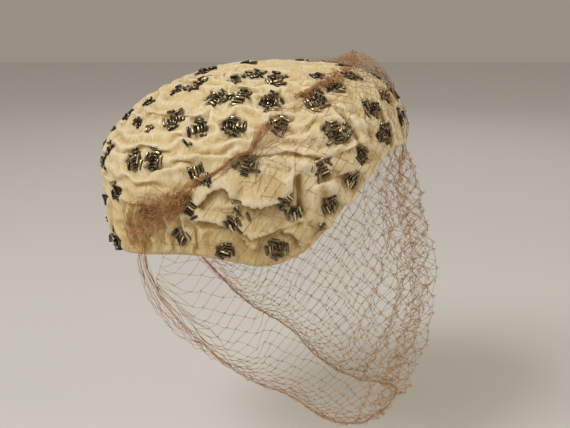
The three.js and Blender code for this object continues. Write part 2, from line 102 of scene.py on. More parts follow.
def crown_point(around, down):
    """Points on the surface that touches the tops of the puffs."""
    around, down = np.broadcast_arrays(np.asarray(around, float), np.asarray(down, float))
    cos, sin = np.cos(np.radians(around)), np.sin(np.radians(around))
    front = cos > 0
    length = np.where(front, HEAD_FRONT, HEAD_BACK) + PADDING
    half_width = HEAD_WIDTH / 2 + PADDING
    plan = (np.abs(cos / length) ** PLAN_POWER + np.abs(sin / half_width) ** PLAN_POWER) ** (-1 / PLAN_POWER)
    power = SIDE_POWER + (np.where(front, FRONT_POWER, BACK_POWER) - SIDE_POWER) * cos**2
    angle = np.radians(np.clip(down, 0, 90))
    below = np.radians(np.maximum(down - 90, 0)) * plan
    level = WIDEST_LEVEL + (PADDING - WIDEST_LEVEL) * np.cos(angle) ** (2 / power) - below
    tuck = np.where(front, SIDE_TUCK, SIDE_TUCK + (BACK_TUCK - SIDE_TUCK) * cos**2)
    radius = plan * np.sin(angle) ** (2 / power) * (1 - tuck * (below / TUCK_DEPTH) ** 2)
    return np.stack([-radius * sin, -radius * cos, level], -1)


def level_direction(around, down):
    """A step round the crown."""
    return crown_point(around + SLOPE_STEP, down) - crown_point(around - SLOPE_STEP, down)


def crown_normal(around, down):
    """The direction straight out of that surface."""
    down = np.maximum(down, 1)
    along = crown_point(around, down + SLOPE_STEP) - crown_point(around, down - SLOPE_STEP)
    normal = np.cross(level_direction(around, down), along)
    return normal / np.linalg.norm(normal, axis=-1, keepdims=True)


def on_crown(around, down, lift):
    """Points that stand off that surface by lift, in metres."""
    return crown_point(around, down) + crown_normal(around, down) * np.asarray(lift)[..., None]


def rim_down(around):
    """How far down the edge lies, found by halving."""
    around = np.asarray(around, float)
    level = eased(RIM, 1, around) * MM
    low, high = (np.full(around.shape, bound) for bound in RIM_SEARCH)
    for _ in range(HALVINGS):
        middle = (low + high) / 2
        above = crown_point(around, middle)[..., 2] > level
        low, high = np.where(above, middle, low), np.where(above, high, middle)
    return (low + high) / 2


# The heaps of beads on the wearer's right: around, down, beads, and the lie of the long axis, 0 level
# and 90 upright. The left side repeats them a little moved on.
BEAD_HEAPS = [
    (53, 69, 16, 100), (57, 47, 14, 20), (160, 117, 14, 60), (71, 26, 12, 30), (30, 77, 12, 95),
    (80, 45, 12, 0), (80, 119, 12, 10), (93, 80, 12, 75), (100, 60, 12, 0), (134, 78, 12, 85),
    (132, 56, 12, 30), (144, 79, 12, 110), (33, 60, 11, 110), (100, 41, 10, 80), (114, 42, 10, 60),
    (42, 37, 10, 0), (12, 73, 9, 80), (22, 31, 9, 0), (61, 85, 9, 120), (78, 60, 9, 50),
    (118, 61, 9, 20), (155, 97, 9, 100), (5, 57, 9, 90), (18, 55, 8, 90), (-31, 13, 8, 0),
    (178, 5, 8, 0), (90, 20, 8, 45), (110, 25, 8, 130), (118, 100, 8, 60), (141, 34, 8, 20),
    (43, 83, 7, 40), (48, 90, 7, 130), (57, 100, 7, 30), (100, 107, 7, 20), (115, 84, 7, 30),
    (124, 113, 7, 140), (167, 86, 7, 90), (169, 103, 7, 90), (77, 97, 7, 40), (103, 120, 7, 80),
    (-8, 22, 6, 0), (-6, 68, 6, 90), (151, 38, 6, 0), (72, 102, 6, 150), (137, 104, 6, 90),
    (164, 76, 5, 60), (178, 68, 5, 90), (178, 21, 5, 0), (-4, 42, 5, 0), (163, 47, 5, 0),
    (171, 57, 5, 30), (40, 24, 5, 30), (152, 59, 4, 40), (176, 113, 4, 90),
]
HEAP_NODES = 40
MIDDLE_AROUND = 10  # heaps this near the front or back middle aren't repeated
HEAP_SPACING = 0.014
LEFT_SHIFT = (4, 2)  # degrees around and down
EDGE_MARGIN = 3


def heaps_on_both_sides():
    """The heaps on the right, and their repeats on the left where there is room."""
    places = crown_point(*np.array(BEAD_HEAPS, float)[:, :2].T)
    left = []
    for around, down, beads, lie in BEAD_HEAPS:
        if MIDDLE_AROUND < around < 180 - MIDDLE_AROUND:
            turned = -around + LEFT_SHIFT[0]
            lower = min(down + LEFT_SHIFT[1], float(rim_down(turned)) - EDGE_MARGIN)
            if np.linalg.norm(places - crown_point(turned, lower), axis=1).min() > HEAP_SPACING:
                left.append((turned, lower, beads, 180 - lie))
    return BEAD_HEAPS + left


heaps = heaps_on_both_sides()
caught_points = crown_point(*np.array(heaps, float)[:, :2].T)
PUFF_DEPTH = 1.9  # mm, from the top of a puff down to a stitch
PUFF_REACH = 0.008
VELVET_LEVEL = 0.3


def nearest(points, others):
    """For each point, its distance from the nearest of the others, and which that is."""
    best = np.full(len(points), np.inf)
    which = np.zeros(len(points), int)
    for k, other in enumerate(others):
        away = np.linalg.norm(points - other, axis=1)
        closer = away < best
        best[closer], which[closer] = away[closer], k
    return best, which


def velvet_lift(points):
    """How far the velvet stands off the crown surface, in mm, sunk towards the heaps."""
    away = (np.linalg.norm(points - place, axis=1) / PUFF_REACH for place in caught_points)
    pinned = sum(np.exp(-(reach**4)) for reach in away)
    return VELVET_LEVEL - PUFF_DEPTH * np.minimum(pinned, 1)


# The mesh is a square of quads over the top of the crown with rings of quads below it.
SQUARE = 68
RINGS = 94


def cap_grid():
    """Around and the share of the way down to the edge for each vertex, the quads, and the last ring."""
    side = np.linspace(-1, 1, SQUARE + 1)
    a, b = (v.ravel() for v in np.meshgrid(side, side, indexing="ij"))
    reach = np.maximum(np.abs(a), np.abs(b))
    with np.errstate(divide="ignore", invalid="ignore"):
        angle = np.select(
            [reach < 1e-9, (a > -b) & (a > b), a > -b, a < b],
            [0 * a, b / a, 2 - a / b, 4 + b / a], 6 - a / b) * np.pi / 4
    around = np.degrees(np.where(reach < 1e-9, 0, angle)) % 360
    top = SQUARE / 2 / RINGS
    index = np.arange((SQUARE + 1) ** 2).reshape(SQUARE + 1, -1)
    quads = np.stack([index[:-1, :-1], index[1:, :-1], index[1:, 1:], index[:-1, 1:]], -1).reshape(-1, 4)
    columns = 4 * SQUARE
    border = np.zeros(columns, int)
    on_border = np.flatnonzero(reach > 1 - 1e-9)
    border[np.round(around[on_border] / 360 * columns).astype(int) % columns] = on_border
    ring_around = np.arange(columns) * 360 / columns
    arounds, parts = [around], [reach * top]
    previous = border
    for ring in range(SQUARE // 2 + 1, RINGS + 1):
        now = sum(len(v) for v in arounds) + np.arange(columns)
        arounds.append(ring_around)
        parts.append(np.full(columns, ring / RINGS))
        quads = np.vstack([quads, np.stack([previous, now, np.roll(now, -1), np.roll(previous, -1)], -1)])
        previous = now
    return np.concatenate(arounds), np.concatenate(parts), quads, previous


def make_mesh(name, points, faces):
    """A new smooth object whose faces all have the same number of corners."""
    points, faces = np.asarray(points, float), np.asarray(faces, int)
    mesh = bpy.data.meshes.new(name)
    mesh.vertices.add(len(points))
    mesh.vertices.foreach_set("co", points.ravel())
    mesh.loops.add(faces.size)
    mesh.loops.foreach_set("vertex_index", faces.ravel())
    mesh.polygons.add(len(faces))
    mesh.polygons.foreach_set("loop_start", np.arange(len(faces)) * faces.shape[1])
    mesh.polygons.foreach_set("use_smooth", np.ones(len(faces), bool))
    mesh.update(calc_edges=True)
    piece = bpy.data.objects.new(name, mesh)
    bpy.context.collection.objects.link(piece)
    return piece


def points_of(mesh):
    points = np.zeros(len(mesh.vertices) * 3)
    mesh.vertices.foreach_get("co", points)
    return points.reshape(-1, 3)


def apply_modifiers(piece):
    """Puts the result of the piece's modifiers in its mesh and takes them off."""
    shaped = piece.evaluated_get(bpy.context.evaluated_depsgraph_get())
    mesh = bpy.data.meshes.new_from_object(shaped)
    piece.modifiers.clear()
    piece.data = mesh


EDGE_BEGINS = 0.965  # the share of the way down where the velvet starts to turn in
EDGE_LIFT = -3.4
# The turned edge, after the last ring: share of the way down, and lift in mm.
TURNED_EDGE = [(1.007, -4.2), (1.011, -5.2), (1.010, -6.4), (1.004, -7.4), (0.99, -8.0), (0.96, -8.3)]
EVEN_STEPS = 120


def smooth_step(value, low, high):
    """0 up to low and 1 from high, eased between them."""
    t = np.clip((value - low) / (high - low), 0, 1)
    return t * t * (3 - 2 * t)


def even_down(around, part):
    """How far down each place lies when the ways down to the edge are divided evenly by length."""
    lines = np.linspace(0, 1, EVEN_STEPS + 1)[:, None] * rim_down(around)
    steps = np.linalg.norm(np.diff(crown_point(around, lines), axis=0), axis=2)
    reach = np.vstack([np.zeros(len(around)), np.cumsum(steps, axis=0)]) / steps.sum(0)
    above = np.clip((reach <= part).sum(0) - 1, 0, len(lines) - 2)
    column = np.arange(len(around))
    low, high = reach[above, column], reach[above + 1, column]
    t = (part - low) / np.maximum(high - low, 1e-12)
    return lines[above, column] * (1 - t) + lines[above + 1, column] * t


outer_around, part, quads, last_ring = cap_grid()
outer_down = even_down(outer_around, part)
near_edge = smooth_step(part, EDGE_BEGINS, 1)
outer_lift = velvet_lift(crown_point(outer_around, outer_down)) * (1 - near_edge) + EDGE_LIFT * near_edge
arounds, downs, lifts = [outer_around], [outer_down], [outer_lift]
ring_around = outer_around[last_ring]
for share, turned_lift in TURNED_EDGE:
    now = sum(len(values) for values in arounds) + np.arange(len(last_ring))
    arounds.append(ring_around)
    downs.append(share * rim_down(ring_around))
    lifts.append(np.full(len(now), turned_lift))
    quads = np.vstack([quads, np.stack([last_ring, now, np.roll(now, -1), np.roll(last_ring, -1)], -1)])
    last_ring = now
cover_around, cover_down, cover_lift = (np.concatenate(values) for values in (arounds, downs, lifts))
cover_points = on_crown(cover_around, cover_down, cover_lift * MM)

# The velvet is cut larger than the foundation and settled over its stitches: its spare length buckles
# into small folds, which run round the hat where it was let out downwards, and down it where it was
# let out sideways.
CAUGHT_REACH = 1.3  # mm round a heap of one bead that a stitch holds, more for a larger heap
THREAD_PULL = 0.9
BEND = 0.07  # how much the velvet resists bending
SETTLE_STEPS = 400
SIDE_LET_OUT = (0.10, 0.29)  # sideways and downwards, over the side and back
FRONT_LET_OUT = (0.22, 0.11)
FRONT_ENDS = (30, 65)  # degrees round, over which the front gives way to the side
LEAST_LET_OUT = 0.04
PUCKERS_BEGIN = (0.82, 0.90)  # shares of the way down to the edge
PUCKERED_FROM = (98, 118)
EDGE_LET_OUT = (0.30, 0.12)
FOLDS_SWING = 38  # how quickly their direction changes from place to place
SWING_BY = (0.2, -0.16)
FLAPS_FROM = (58, 66)  # where the large flaps over the ears begin and end, in degrees
FLAPS_TO = (112, 120)
FLAPS_BELOW = (76, 84)
CALM = 0.35  # the share of the spare length left under them
FOLD_START = (110, 1.2)  # fineness, and height in mm, of the waves that start the folds
UPRIGHT_FINER = 1.5
FOLD_HOLD = 0.026
FOLD_HIGHEST = 2.6  # mm
FOLD_LOWEST = -4.4
DRIFT = 1.5  # mm that a place may move along the crown
PUFF_FOOT = -0.8
PUFF_RISE = 1.3
PUFF_RISES = (0.004, 0.013)  # metres from a stitch
PUFFS_END = 100
HELD_EDGE = 0.992


def neighbours_of(quads, count):
    """Up to eight neighbours of every vertex, along the sides and across the quads, and how many."""
    a, b, c, d = quads.T
    pairs = np.vstack([np.stack(p, -1) for p in ((a, b), (b, c), (c, d), (d, a), (a, c), (b, d))])
    pairs = np.unique(np.sort(pairs, axis=1), axis=0)
    pairs = np.vstack([pairs, pairs[:, ::-1]])
    pairs = pairs[np.argsort(pairs[:, 0], kind="stable")]
    amount = np.bincount(pairs[:, 0], minlength=count)
    slot = np.arange(len(pairs)) - np.repeat(np.cumsum(amount) - amount, amount)
    table = np.repeat(np.arange(count)[:, None], amount.max(), axis=1)
    table[pairs[:, 0], slot] = pairs[:, 1]
    return table, amount


def let_out_length(points, table, around, down):
    """The length that each thread between neighbours was cut to, longer than its place on the crown."""
    sideways = level_direction(around, np.maximum(down, 1))
    sideways /= np.linalg.norm(sideways, axis=1, keepdims=True)
    away = points[table] - points[:, None]
    length = np.linalg.norm(away, axis=2) + 1e-9
    level = ((away / length[..., None] * sideways[:, None]).sum(2)) ** 2
    turned = np.abs((around + 180) % 360 - 180)
    front = 1 - smooth_step(turned, *FRONT_ENDS)[:, None]
    flaps = smooth_step(turned, *FLAPS_FROM) * smooth_step(-turned, -FLAPS_TO[1], -FLAPS_TO[0])
    flaps = (flaps * smooth_step(down, *FLAPS_BELOW))[:, None]
    let_out = np.array(SIDE_LET_OUT) + (np.array(FRONT_LET_OUT) - SIDE_LET_OUT) * front
    swing = np.array([noise.noise(Vector(p) * FOLDS_SWING) for p in points])[:, None]
    let_out = np.clip(let_out + np.array(SWING_BY) * swing, LEAST_LET_OUT, None)
    let_out = let_out * (1 - (1 - CALM) * flaps)
    near_rim = smooth_step(down / rim_down(around), *PUCKERS_BEGIN)
    pucker = (near_rim * smooth_step(turned, *PUCKERED_FROM))[:, None]
    let_out = let_out + (np.array(EDGE_LET_OUT) - let_out) * pucker
    return length * (1 + let_out[:, :1] * level + let_out[:, 1:] * (1 - level))


def settle(points, held_by, normal, length, table, amount, free, steps, hold, lowest, highest, drift_limit):
    """Lets the threads take up their lengths while the surface is held near held_by, with the share
    hold at each step, and between lowest and highest, in mm as drift_limit is."""
    share = ((table != np.arange(len(points))[:, None]) / amount[:, None])[..., None]
    free_share = free[:, None].astype(float)
    settled = points.copy()
    for _ in range(steps):
        away = settled[table] - settled[:, None]
        now = np.linalg.norm(away, axis=2) + 1e-9
        step = (((now - length) / now)[..., None] * away * share).sum(1) * THREAD_PULL
        flat = (away * share).sum(1)
        bend = flat - (flat[table] * share).sum(1)
        step += bend * BEND - normal * (((settled - held_by) * normal).sum(1) * hold)[:, None]
        offset = settled + step * free_share - held_by
        lift = (offset * normal).sum(1)
        drift = offset - lift[:, None] * normal
        reach = np.linalg.norm(drift, axis=1) + 1e-9
        drift *= np.minimum(1, drift_limit * MM / reach)[:, None]
        kept = held_by + drift + np.clip(lift, lowest * MM, highest * MM)[:, None] * normal
        settled = np.where(free[:, None], kept, settled)
    return settled


def held_by_heaps(points):
    """Which points the stitch under a heap holds."""
    away, number = nearest(points, caught_points)
    return away < CAUGHT_REACH * MM * np.sqrt(np.array([heap[2] for heap in heaps]))[number]


def wrinkled(points, normals, fineness, height):
    """Small moves out and in, so that the folds have somewhere to start."""
    wave = [noise.noise(Vector((x * fineness, y * fineness, z * fineness * UPRIGHT_FINER)))
            for x, y, z in points]
    return normals * (np.array(wave) * height * MM)[:, None]


hull, hull_normal = crown_point(cover_around, cover_down), crown_normal(cover_around, cover_down)
caught = held_by_heaps(cover_points)
caught[:len(part)] |= part > HELD_EDGE
caught[len(part):] = True
table, amount = neighbours_of(quads, len(cover_points))
length = let_out_length(cover_points, table, cover_around, cover_down)
begun = cover_points + wrinkled(cover_points, hull_normal, *FOLD_START) * ~caught[:, None]
from_stitch = nearest(hull, caught_points)[0]
puffed = PUFF_FOOT * MM + PUFF_RISE * MM * smooth_step(from_stitch, *PUFF_RISES) * (cover_down < PUFFS_END)
settled = settle(begun, hull + hull_normal * puffed[:, None], hull_normal, length, table, amount, ~caught,
                 SETTLE_STEPS, FOLD_HOLD, FOLD_LOWEST, FOLD_HIGHEST, DRIFT)
cover = make_mesh("velvet_cover", settled, quads)
finer = cover.modifiers.new("finer", "SUBSURF")
finer.levels = finer.render_levels = 1
apply_modifiers(cover)

# The larger folds were laid by hand and pinned: flaps whose wavy edges hang over a hollow, and long
# ridges and valleys. A flap has its rise and drop in mm, and its edge, with the hollow on the right.
FLAPS = [
    (2.8, 3.4, [(117, 99), (113, 97), (110, 93), (105.5, 90.5), (102, 90.5), (100.5, 94), (98, 95.5)]),
    (3.2, 4.2, [(97, 95.5), (92.5, 98), (87.5, 98.5), (83, 97.5), (79, 97), (76, 94), (74, 90), (73.5, 86)]),
    (2.8, 3.6, [(119, 105), (112.5, 105), (110, 106), (107, 106), (104, 108.5)]),
    (2.8, 3.6, [(99, 110.5), (94, 111.5), (91, 113.5), (88, 112.5), (84, 111.5), (80, 110)]),
    (2.2, 3.4, [(79, 110), (76, 111), (72.5, 112), (70, 115), (68.5, 119)]),
    (1.4, 2.0, [(95, 114), (93, 118), (90, 119), (88, 116)]),
    (1.4, 2.2, [(62, 96), (59, 96), (56, 97)]),
]
# Height and half width in mm, and the line of the crease.
CREASES = [
    (2.8, 4.0, [(73, 86), (70, 82.5), (66, 84), (64, 90), (64.5, 97), (65, 104)]),
    (-4.5, 1.7, [(71, 87), (70.5, 92), (70.5, 97), (70, 101)]),
    (1.8, 2.0, [(70.5, 102), (68, 107), (66, 111)]),
    (2.0, 2.6, [(48, 53), (45.5, 61), (43.5, 70), (42.5, 79)]),
    (2.0, 2.6, [(52, 58), (48.5, 69), (46.5, 78), (45.5, 84)]),
    (-2.0, 1.5, [(50, 56), (47, 66), (45, 75), (44, 83)]),
    (1.6, 2.4, [(42, 64), (40, 72), (39.5, 80)]),
    (-3.0, 2.2, [(38.5, 72), (38, 77)]),
    (1.6, 3.0, [(71, 80), (66, 82), (60, 84), (56, 90)]),
    (-1.0, 1.0, [(75, 84), (80, 79), (87, 75)]),
    (-1.0, 1.0, [(74.5, 83.5), (78, 77), (83, 71)]),
    (-1.0, 1.0, [(75, 85), (82, 82), (89, 80)]),
    (1.6, 3.0, [(92, 113), (92, 116.5)]),
]
FLAP_INSIDE = 8  # mm from its edge back to where a flap lies flat
FLAP_OUTSIDE = 5  # and on to where the hollow ends
FLAP_PULL = 1.6  # how far the edge is pulled over the hollow, and the hollow in under it
FLAP_PULL_REACH = 2.5
HOLLOW_PULL = 0.8
HOLLOW_PULL_REACH = 2
FLAP_ENDS = 5
FLAP_MARGIN = 0.016
EDGE_WAVE = 0.42
EDGE_WAVELENGTH = 7.0
EDGE_TURNS = 0.8  # mm to each side, over which the edge turns down
CREASE_MARGIN = 0.012
LINE_STEP = 0.001
LINE_PLACES = 60


def line_points(line, step):
    """Points along a smooth line through a few places on the crown, a step apart."""
    places = np.array(line, float)
    fine = np.linspace(0, len(places) - 1, LINE_PLACES)
    k = np.minimum(fine.astype(int), len(places) - 2)
    s = fine - k
    smooth = []
    for column in places.T:
        slope = np.gradient(column)
        smooth.append(column[k] * (1 - 3 * s**2 + 2 * s**3) + column[k + 1] * (3 * s**2 - 2 * s**3)
                      + (s**3 - 2 * s**2 + s) * slope[k] + (s**3 - s**2) * slope[k + 1])
    points = crown_point(*smooth)
    reach = np.concatenate([[0], np.cumsum(np.linalg.norm(np.diff(points, axis=0), axis=1))])
    even = np.linspace(0, reach[-1], max(int(reach[-1] / step), 2) + 1)
    return np.stack([np.interp(even, reach, points[:, k]) for k in range(3)], -1)


def beside_line(points, normals, line, margin):
    """Which points are near the line, their places along and to the right of it in mm, and the right."""
    near = np.flatnonzero(((points > line.min(0) - margin) & (points < line.max(0) + margin)).all(1))
    which = nearest(points[near], line)[1]
    ahead = np.gradient(line, axis=0)
    ahead /= np.linalg.norm(ahead, axis=1, keepdims=True)
    right = np.cross(ahead[which], normals[near])
    right /= np.linalg.norm(right, axis=1, keepdims=True)
    aside = ((points[near] - line[which]) * right).sum(1) / MM
    return near, which * LINE_STEP / MM, aside, right


def edge_wave(along, rise, side):
    """A wave of uneven length along the edge of a flap."""
    broad = np.sin(2 * np.pi * along / EDGE_WAVELENGTH + 3 * np.sin(along / 7 + rise + side))
    return broad + 0.25 * np.sin(along * 1.6 + 2 * np.sin(along / 3))


def lay_folds(hull, normals):
    """How far the flaps and creases move each point that lies at hull."""
    move = np.zeros_like(hull)
    for side in (1, -1):
        for rise, drop, places in FLAPS:
            line = line_points([(side * a, d) for a, d in places], LINE_STEP)
            length = len(line) * LINE_STEP / MM
            near, along, aside, right = beside_line(hull, normals, line, FLAP_MARGIN)
            aside = aside * side - EDGE_WAVE * edge_wave(along, rise, side)
            held = smooth_step(np.minimum(along, length - along), -1, FLAP_ENDS)
            inside = rise * np.exp(-((np.minimum(aside, 0) / FLAP_INSIDE) ** 2))
            outside = -drop * np.exp(-((np.maximum(aside, 0) / FLAP_OUTSIDE) ** 2))
            over = smooth_step(aside, -EDGE_TURNS, EDGE_TURNS)
            pull = FLAP_PULL * np.exp(-((aside / FLAP_PULL_REACH) ** 2)) * (1 - over)
            pull = pull - HOLLOW_PULL * np.exp(-((aside / HOLLOW_PULL_REACH) ** 2)) * over
            move[near] += ((inside * (1 - over) + outside * over) * held)[:, None] * normals[near] * MM
            move[near] += (pull * held * side)[:, None] * right * MM
        for high, wide, places in CREASES:
            line = line_points([(side * a, d) for a, d in places], LINE_STEP)
            near, along, _, _ = beside_line(hull, normals, line, CREASE_MARGIN)
            reach = np.linalg.norm(hull[near] - line[(along / LINE_STEP * MM).astype(int)], axis=1) / MM
            move[near] += (high * np.exp(-((reach / wide) ** 2)))[:, None] * normals[near] * MM
    return move


def tree_of(points):
    """The points sorted for finding the nearest ones."""
    tree = KDTree(len(points))
    for number, place in enumerate(points):
        tree.insert(place, number)
    tree.balance()
    return tree


def beside_coarse(points):
    """The crown surface and its normal next to each point of the finer mesh."""
    tree = tree_of(settled)
    normals, flats = np.zeros_like(points), np.zeros_like(points)
    for k, place in enumerate(points):
        found = tree.find_n(place, 3)
        weights = np.array([1 / (away + 1e-5) for _, _, away in found])
        which = [index for _, index, _ in found]
        normals[k] = weights @ hull_normal[which]
        flats[k] = weights @ hull[which] / weights.sum()
    normals /= np.linalg.norm(normals, axis=1, keepdims=True)
    return points - normals * ((points - flats) * normals).sum(1)[:, None], normals


def quads_of(mesh):
    corners = np.zeros(len(mesh.loops), int)
    mesh.loops.foreach_get("vertex_index", corners)
    return corners.reshape(-1, 4)


OUTSIDE_LIFTS = (-5.2, -4.4)  # mm, between the turned edge and the outside

fine_points = points_of(cover.data)
fine_hull, fine_normals = beside_coarse(fine_points)
fine_lift = ((fine_points - fine_hull) * fine_normals).sum(1) / MM
on_outside = smooth_step(fine_lift, *OUTSIDE_LIFTS)

# The nap crushes into smaller wrinkles of its own on the folds.
WRINKLE_LET_OUT = 0.10
WRINKLE_STEPS = 70
WRINKLE_START = (300, 0.35)
WRINKLE_HOLD = 0.03
WRINKLE_HEIGHT = 0.9
WRINKLE_DRIFT = 0.6

table, amount = neighbours_of(quads_of(cover.data), len(fine_points))
length = np.linalg.norm(fine_points[table] - fine_points[:, None], axis=2) * (1 + WRINKLE_LET_OUT)
begun = fine_points + wrinkled(fine_points, fine_normals, *WRINKLE_START)
free = (on_outside > 0.5) & ~held_by_heaps(fine_points)
begun = np.where(free[:, None], begun, fine_points)
fine_points = settle(begun, fine_points, fine_normals, length, table, amount, free,
                     WRINKLE_STEPS, WRINKLE_HOLD, -WRINKLE_HEIGHT, WRINKLE_HEIGHT, WRINKLE_DRIFT)
fine_points += lay_folds(fine_hull, fine_normals) * on_outside[:, None]
cover.data.vertices.foreach_set("co", fine_points.ravel())
cover.data.flip_normals()  # its faces then look outwards
cover.data.update()

# How far each place stands out of the folds round it, in mm, for the painted shade in the hollows and the
# painted highlight on the ridges.
SHADE_AND_HIGHLIGHT_ROUNDS = 12

around_it = fine_points.copy()
for _ in range(SHADE_AND_HIGHLIGHT_ROUNDS):
    around_it = around_it[table].sum(1) / table.shape[1]
shade_and_highlight_height = ((fine_points - around_it) * fine_normals).sum(1) / MM
cover.data.attributes.new("shade_and_highlight_height", "FLOAT", "POINT").data.foreach_set("value", shade_and_highlight_height)

VELVET_LIGHT = (0.80, 0.65, 0.365, 1)
VELVET_WARM = (0.75, 0.55, 0.25, 1)
# Painted shade, darker and warmer, put in the hollows of the folds.
VELVET_HOLLOW_SHADE = (0.48, 0.31, 0.095, 1)
# Painted highlight, paler, put on the ridges of the folds.
VELVET_RIDGE_HIGHLIGHT = (0.90, 0.79, 0.55, 1)
# Patches of crushed nap and streaks of pile, painted with this pale highlight.
VELVET_CRUSHED_HIGHLIGHT = (0.97, 0.88, 0.65, 1)
# Painted shade low on the crown: a darker, warmer yellow for shade and for warm light thrown back under the
# folds.
VELVET_LOW_SHADE = (0.60, 0.40, 0.11, 1)
# Heights of the folds over which the painted shade of the hollows and the painted highlight of the ridges
# come in.
SHADED_HOLLOW_HEIGHTS = (-0.15, -1.5)  # mm
HIGHLIT_RIDGE_HEIGHTS = (0.1, 1.6)
LOW_SHADE_LEVELS = (-0.05, -0.105)  # where the painted shade low on the crown begins and where it is full
CRUSHED_HIGHLIGHT_LEVELS = (-0.08, -0.04)  # painted highlight of crushed nap: faint below the first level and strongest above the second, so the crown is paler higher up


class Nodes:
    """A material's node tree, with short ways to add a node and join it up."""

    def __init__(self, name):
        self.material = bpy.data.materials.new(name)
        self.material.use_nodes = True
        self.tree = self.material.node_tree
        self.shader = self.tree.nodes["Principled BSDF"]

    def add(self, kind, **inputs):
        node = self.tree.nodes.new(kind)
        for key, value in inputs.items():
            self.put(node.inputs[key.replace("_", " ")], value)
        return node

    def put(self, socket, value):
        if isinstance(value, bpy.types.NodeSocket):
            self.tree.links.new(value, socket)
        else:
            socket.default_value = value

    def surface(self, **inputs):
        for key, value in inputs.items():
            self.put(self.shader.inputs[key.replace("_", " ")], value)

    def place(self):
        return self.add("ShaderNodeTexCoord").outputs["Object"]

    def attribute(self, name):
        node = self.add("ShaderNodeAttribute")
        node.attribute_name = name
        return node.outputs["Fac"]

    def spread(self, value, span, onto=(0.0, 1.0)):
        """A value between the two of span, as one between the two of onto."""
        node = self.add("ShaderNodeMapRange", Value=value)
        for socket, end in zip(("From Min", "From Max", "To Min", "To Max"), span + onto):
            self.put(node.inputs[socket], end)
        return node.outputs["Result"]

    def mix(self, share, low, high):
        node = self.tree.nodes.new("ShaderNodeMix")
        node.data_type = "RGBA"
        for socket, value in zip((node.inputs[0], node.inputs[6], node.inputs[7]), (share, low, high)):
            self.put(socket, value)
        return node.outputs[2]

    def ramp(self, value, low, high, at=(0.35, 0.65)):
        node = self.add("ShaderNodeValToRGB", Fac=value)
        node.color_ramp.elements[0].position, node.color_ramp.elements[1].position = at
        node.color_ramp.elements[0].color, node.color_ramp.elements[1].color = low, high
        return node.outputs["Color"]


def velvet_material():
    velvet = Nodes("ivory_velvet")
    place = velvet.place()
    broad = velvet.add("ShaderNodeTexNoise", Vector=place, Scale=70.0, Detail=3.0)
    colour = velvet.ramp(broad.outputs["Fac"], VELVET_WARM, VELVET_LIGHT, (0.2, 0.6))
    height = velvet.attribute("shade_and_highlight_height")
    # Painted shade in the hollows and painted highlight on the ridges, by how far the folds stand out.
    colour = velvet.mix(velvet.spread(height, SHADED_HOLLOW_HEIGHTS), colour, VELVET_HOLLOW_SHADE)
    colour = velvet.mix(velvet.spread(height, HIGHLIT_RIDGE_HEIGHTS), colour, VELVET_RIDGE_HIGHLIGHT)
    # Painted shade lower on the crown, mixed towards a darker, warmer yellow.
    level = velvet.add("ShaderNodeSeparateXYZ", Vector=place).outputs["Z"]
    colour = velvet.mix(velvet.spread(level, LOW_SHADE_LEVELS, (0.0, 0.5)), colour, VELVET_LOW_SHADE)
    crushed = velvet.add("ShaderNodeTexNoise", Vector=place, Scale=190.0, Detail=4.0, Roughness=0.55,
                         Distortion=1.2).outputs["Fac"]
    # Patches of crushed nap and streaks of pile, painted with a pale highlight that grows stronger higher up
    # the crown.
    crushed_highlight_patches = velvet.spread(crushed, (0.52, 0.61))
    highlight_high_up = velvet.spread(level, CRUSHED_HIGHLIGHT_LEVELS, (0.2, 0.55))
    stretched = velvet.add("ShaderNodeMapping", Vector=place, Rotation=(0.3, 0.2, 0.3), Scale=(1, 1, 0.13))
    pile = velvet.add("ShaderNodeTexNoise", Vector=stretched.outputs["Vector"], Scale=620.0, Detail=2.0,
                      Distortion=0.4).outputs["Fac"]
    streaks = velvet.spread(pile, (0.56, 0.72))
    for highlight_here in (crushed_highlight_patches, streaks):
        share = velvet.add("ShaderNodeMath", Value=highlight_here)
        share.operation = "MULTIPLY"
        velvet.put(share.inputs[1], highlight_high_up)
        colour = velvet.mix(share.outputs["Value"], colour, VELVET_CRUSHED_HIGHLIGHT)
    gloss = velvet.spread(crushed, (0.50, 0.66), (0.95, 0.52))
    pile_bump = velvet.add("ShaderNodeBump", Height=pile, Strength=0.9, Distance=0.0011)
    crush_bump = velvet.add("ShaderNodeBump", Height=crushed, Strength=0.4, Distance=0.0014,
                            Normal=pile_bump.outputs["Normal"])
    velvet.surface(Base_Color=colour, Roughness=gloss, Normal=crush_bump.outputs["Normal"])
    velvet.surface(Subsurface_Weight=0.25, Subsurface_Radius=(1.0, 0.75, 0.5), Subsurface_Scale=0.003)
    velvet.surface(Sheen_Weight=0.45, Sheen_Roughness=0.3, Sheen_Tint=(1.0, 0.92, 0.76, 1))
    return velvet.material


cover.data.materials.append(velvet_material())
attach(cover, "root")
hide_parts("crown")

# ---------------------------------------------------------------- inside of the crown
# The foundation is covered on the inside with plain ivory cloth, which is laid in the cap and sewn down
# under the velvet's turned edge.
INSIDE_LIFT = -8.35
INSIDE_SIDES = 96
INSIDE_RINGS = 14
INSIDE_EDGE = 0.965
INSIDE_TOP = 0.5  # degrees down, of its highest point
CLOTH_DARK = (0.52, 0.42, 0.27, 1)
CLOTH_LIGHT = (0.66, 0.56, 0.40, 1)


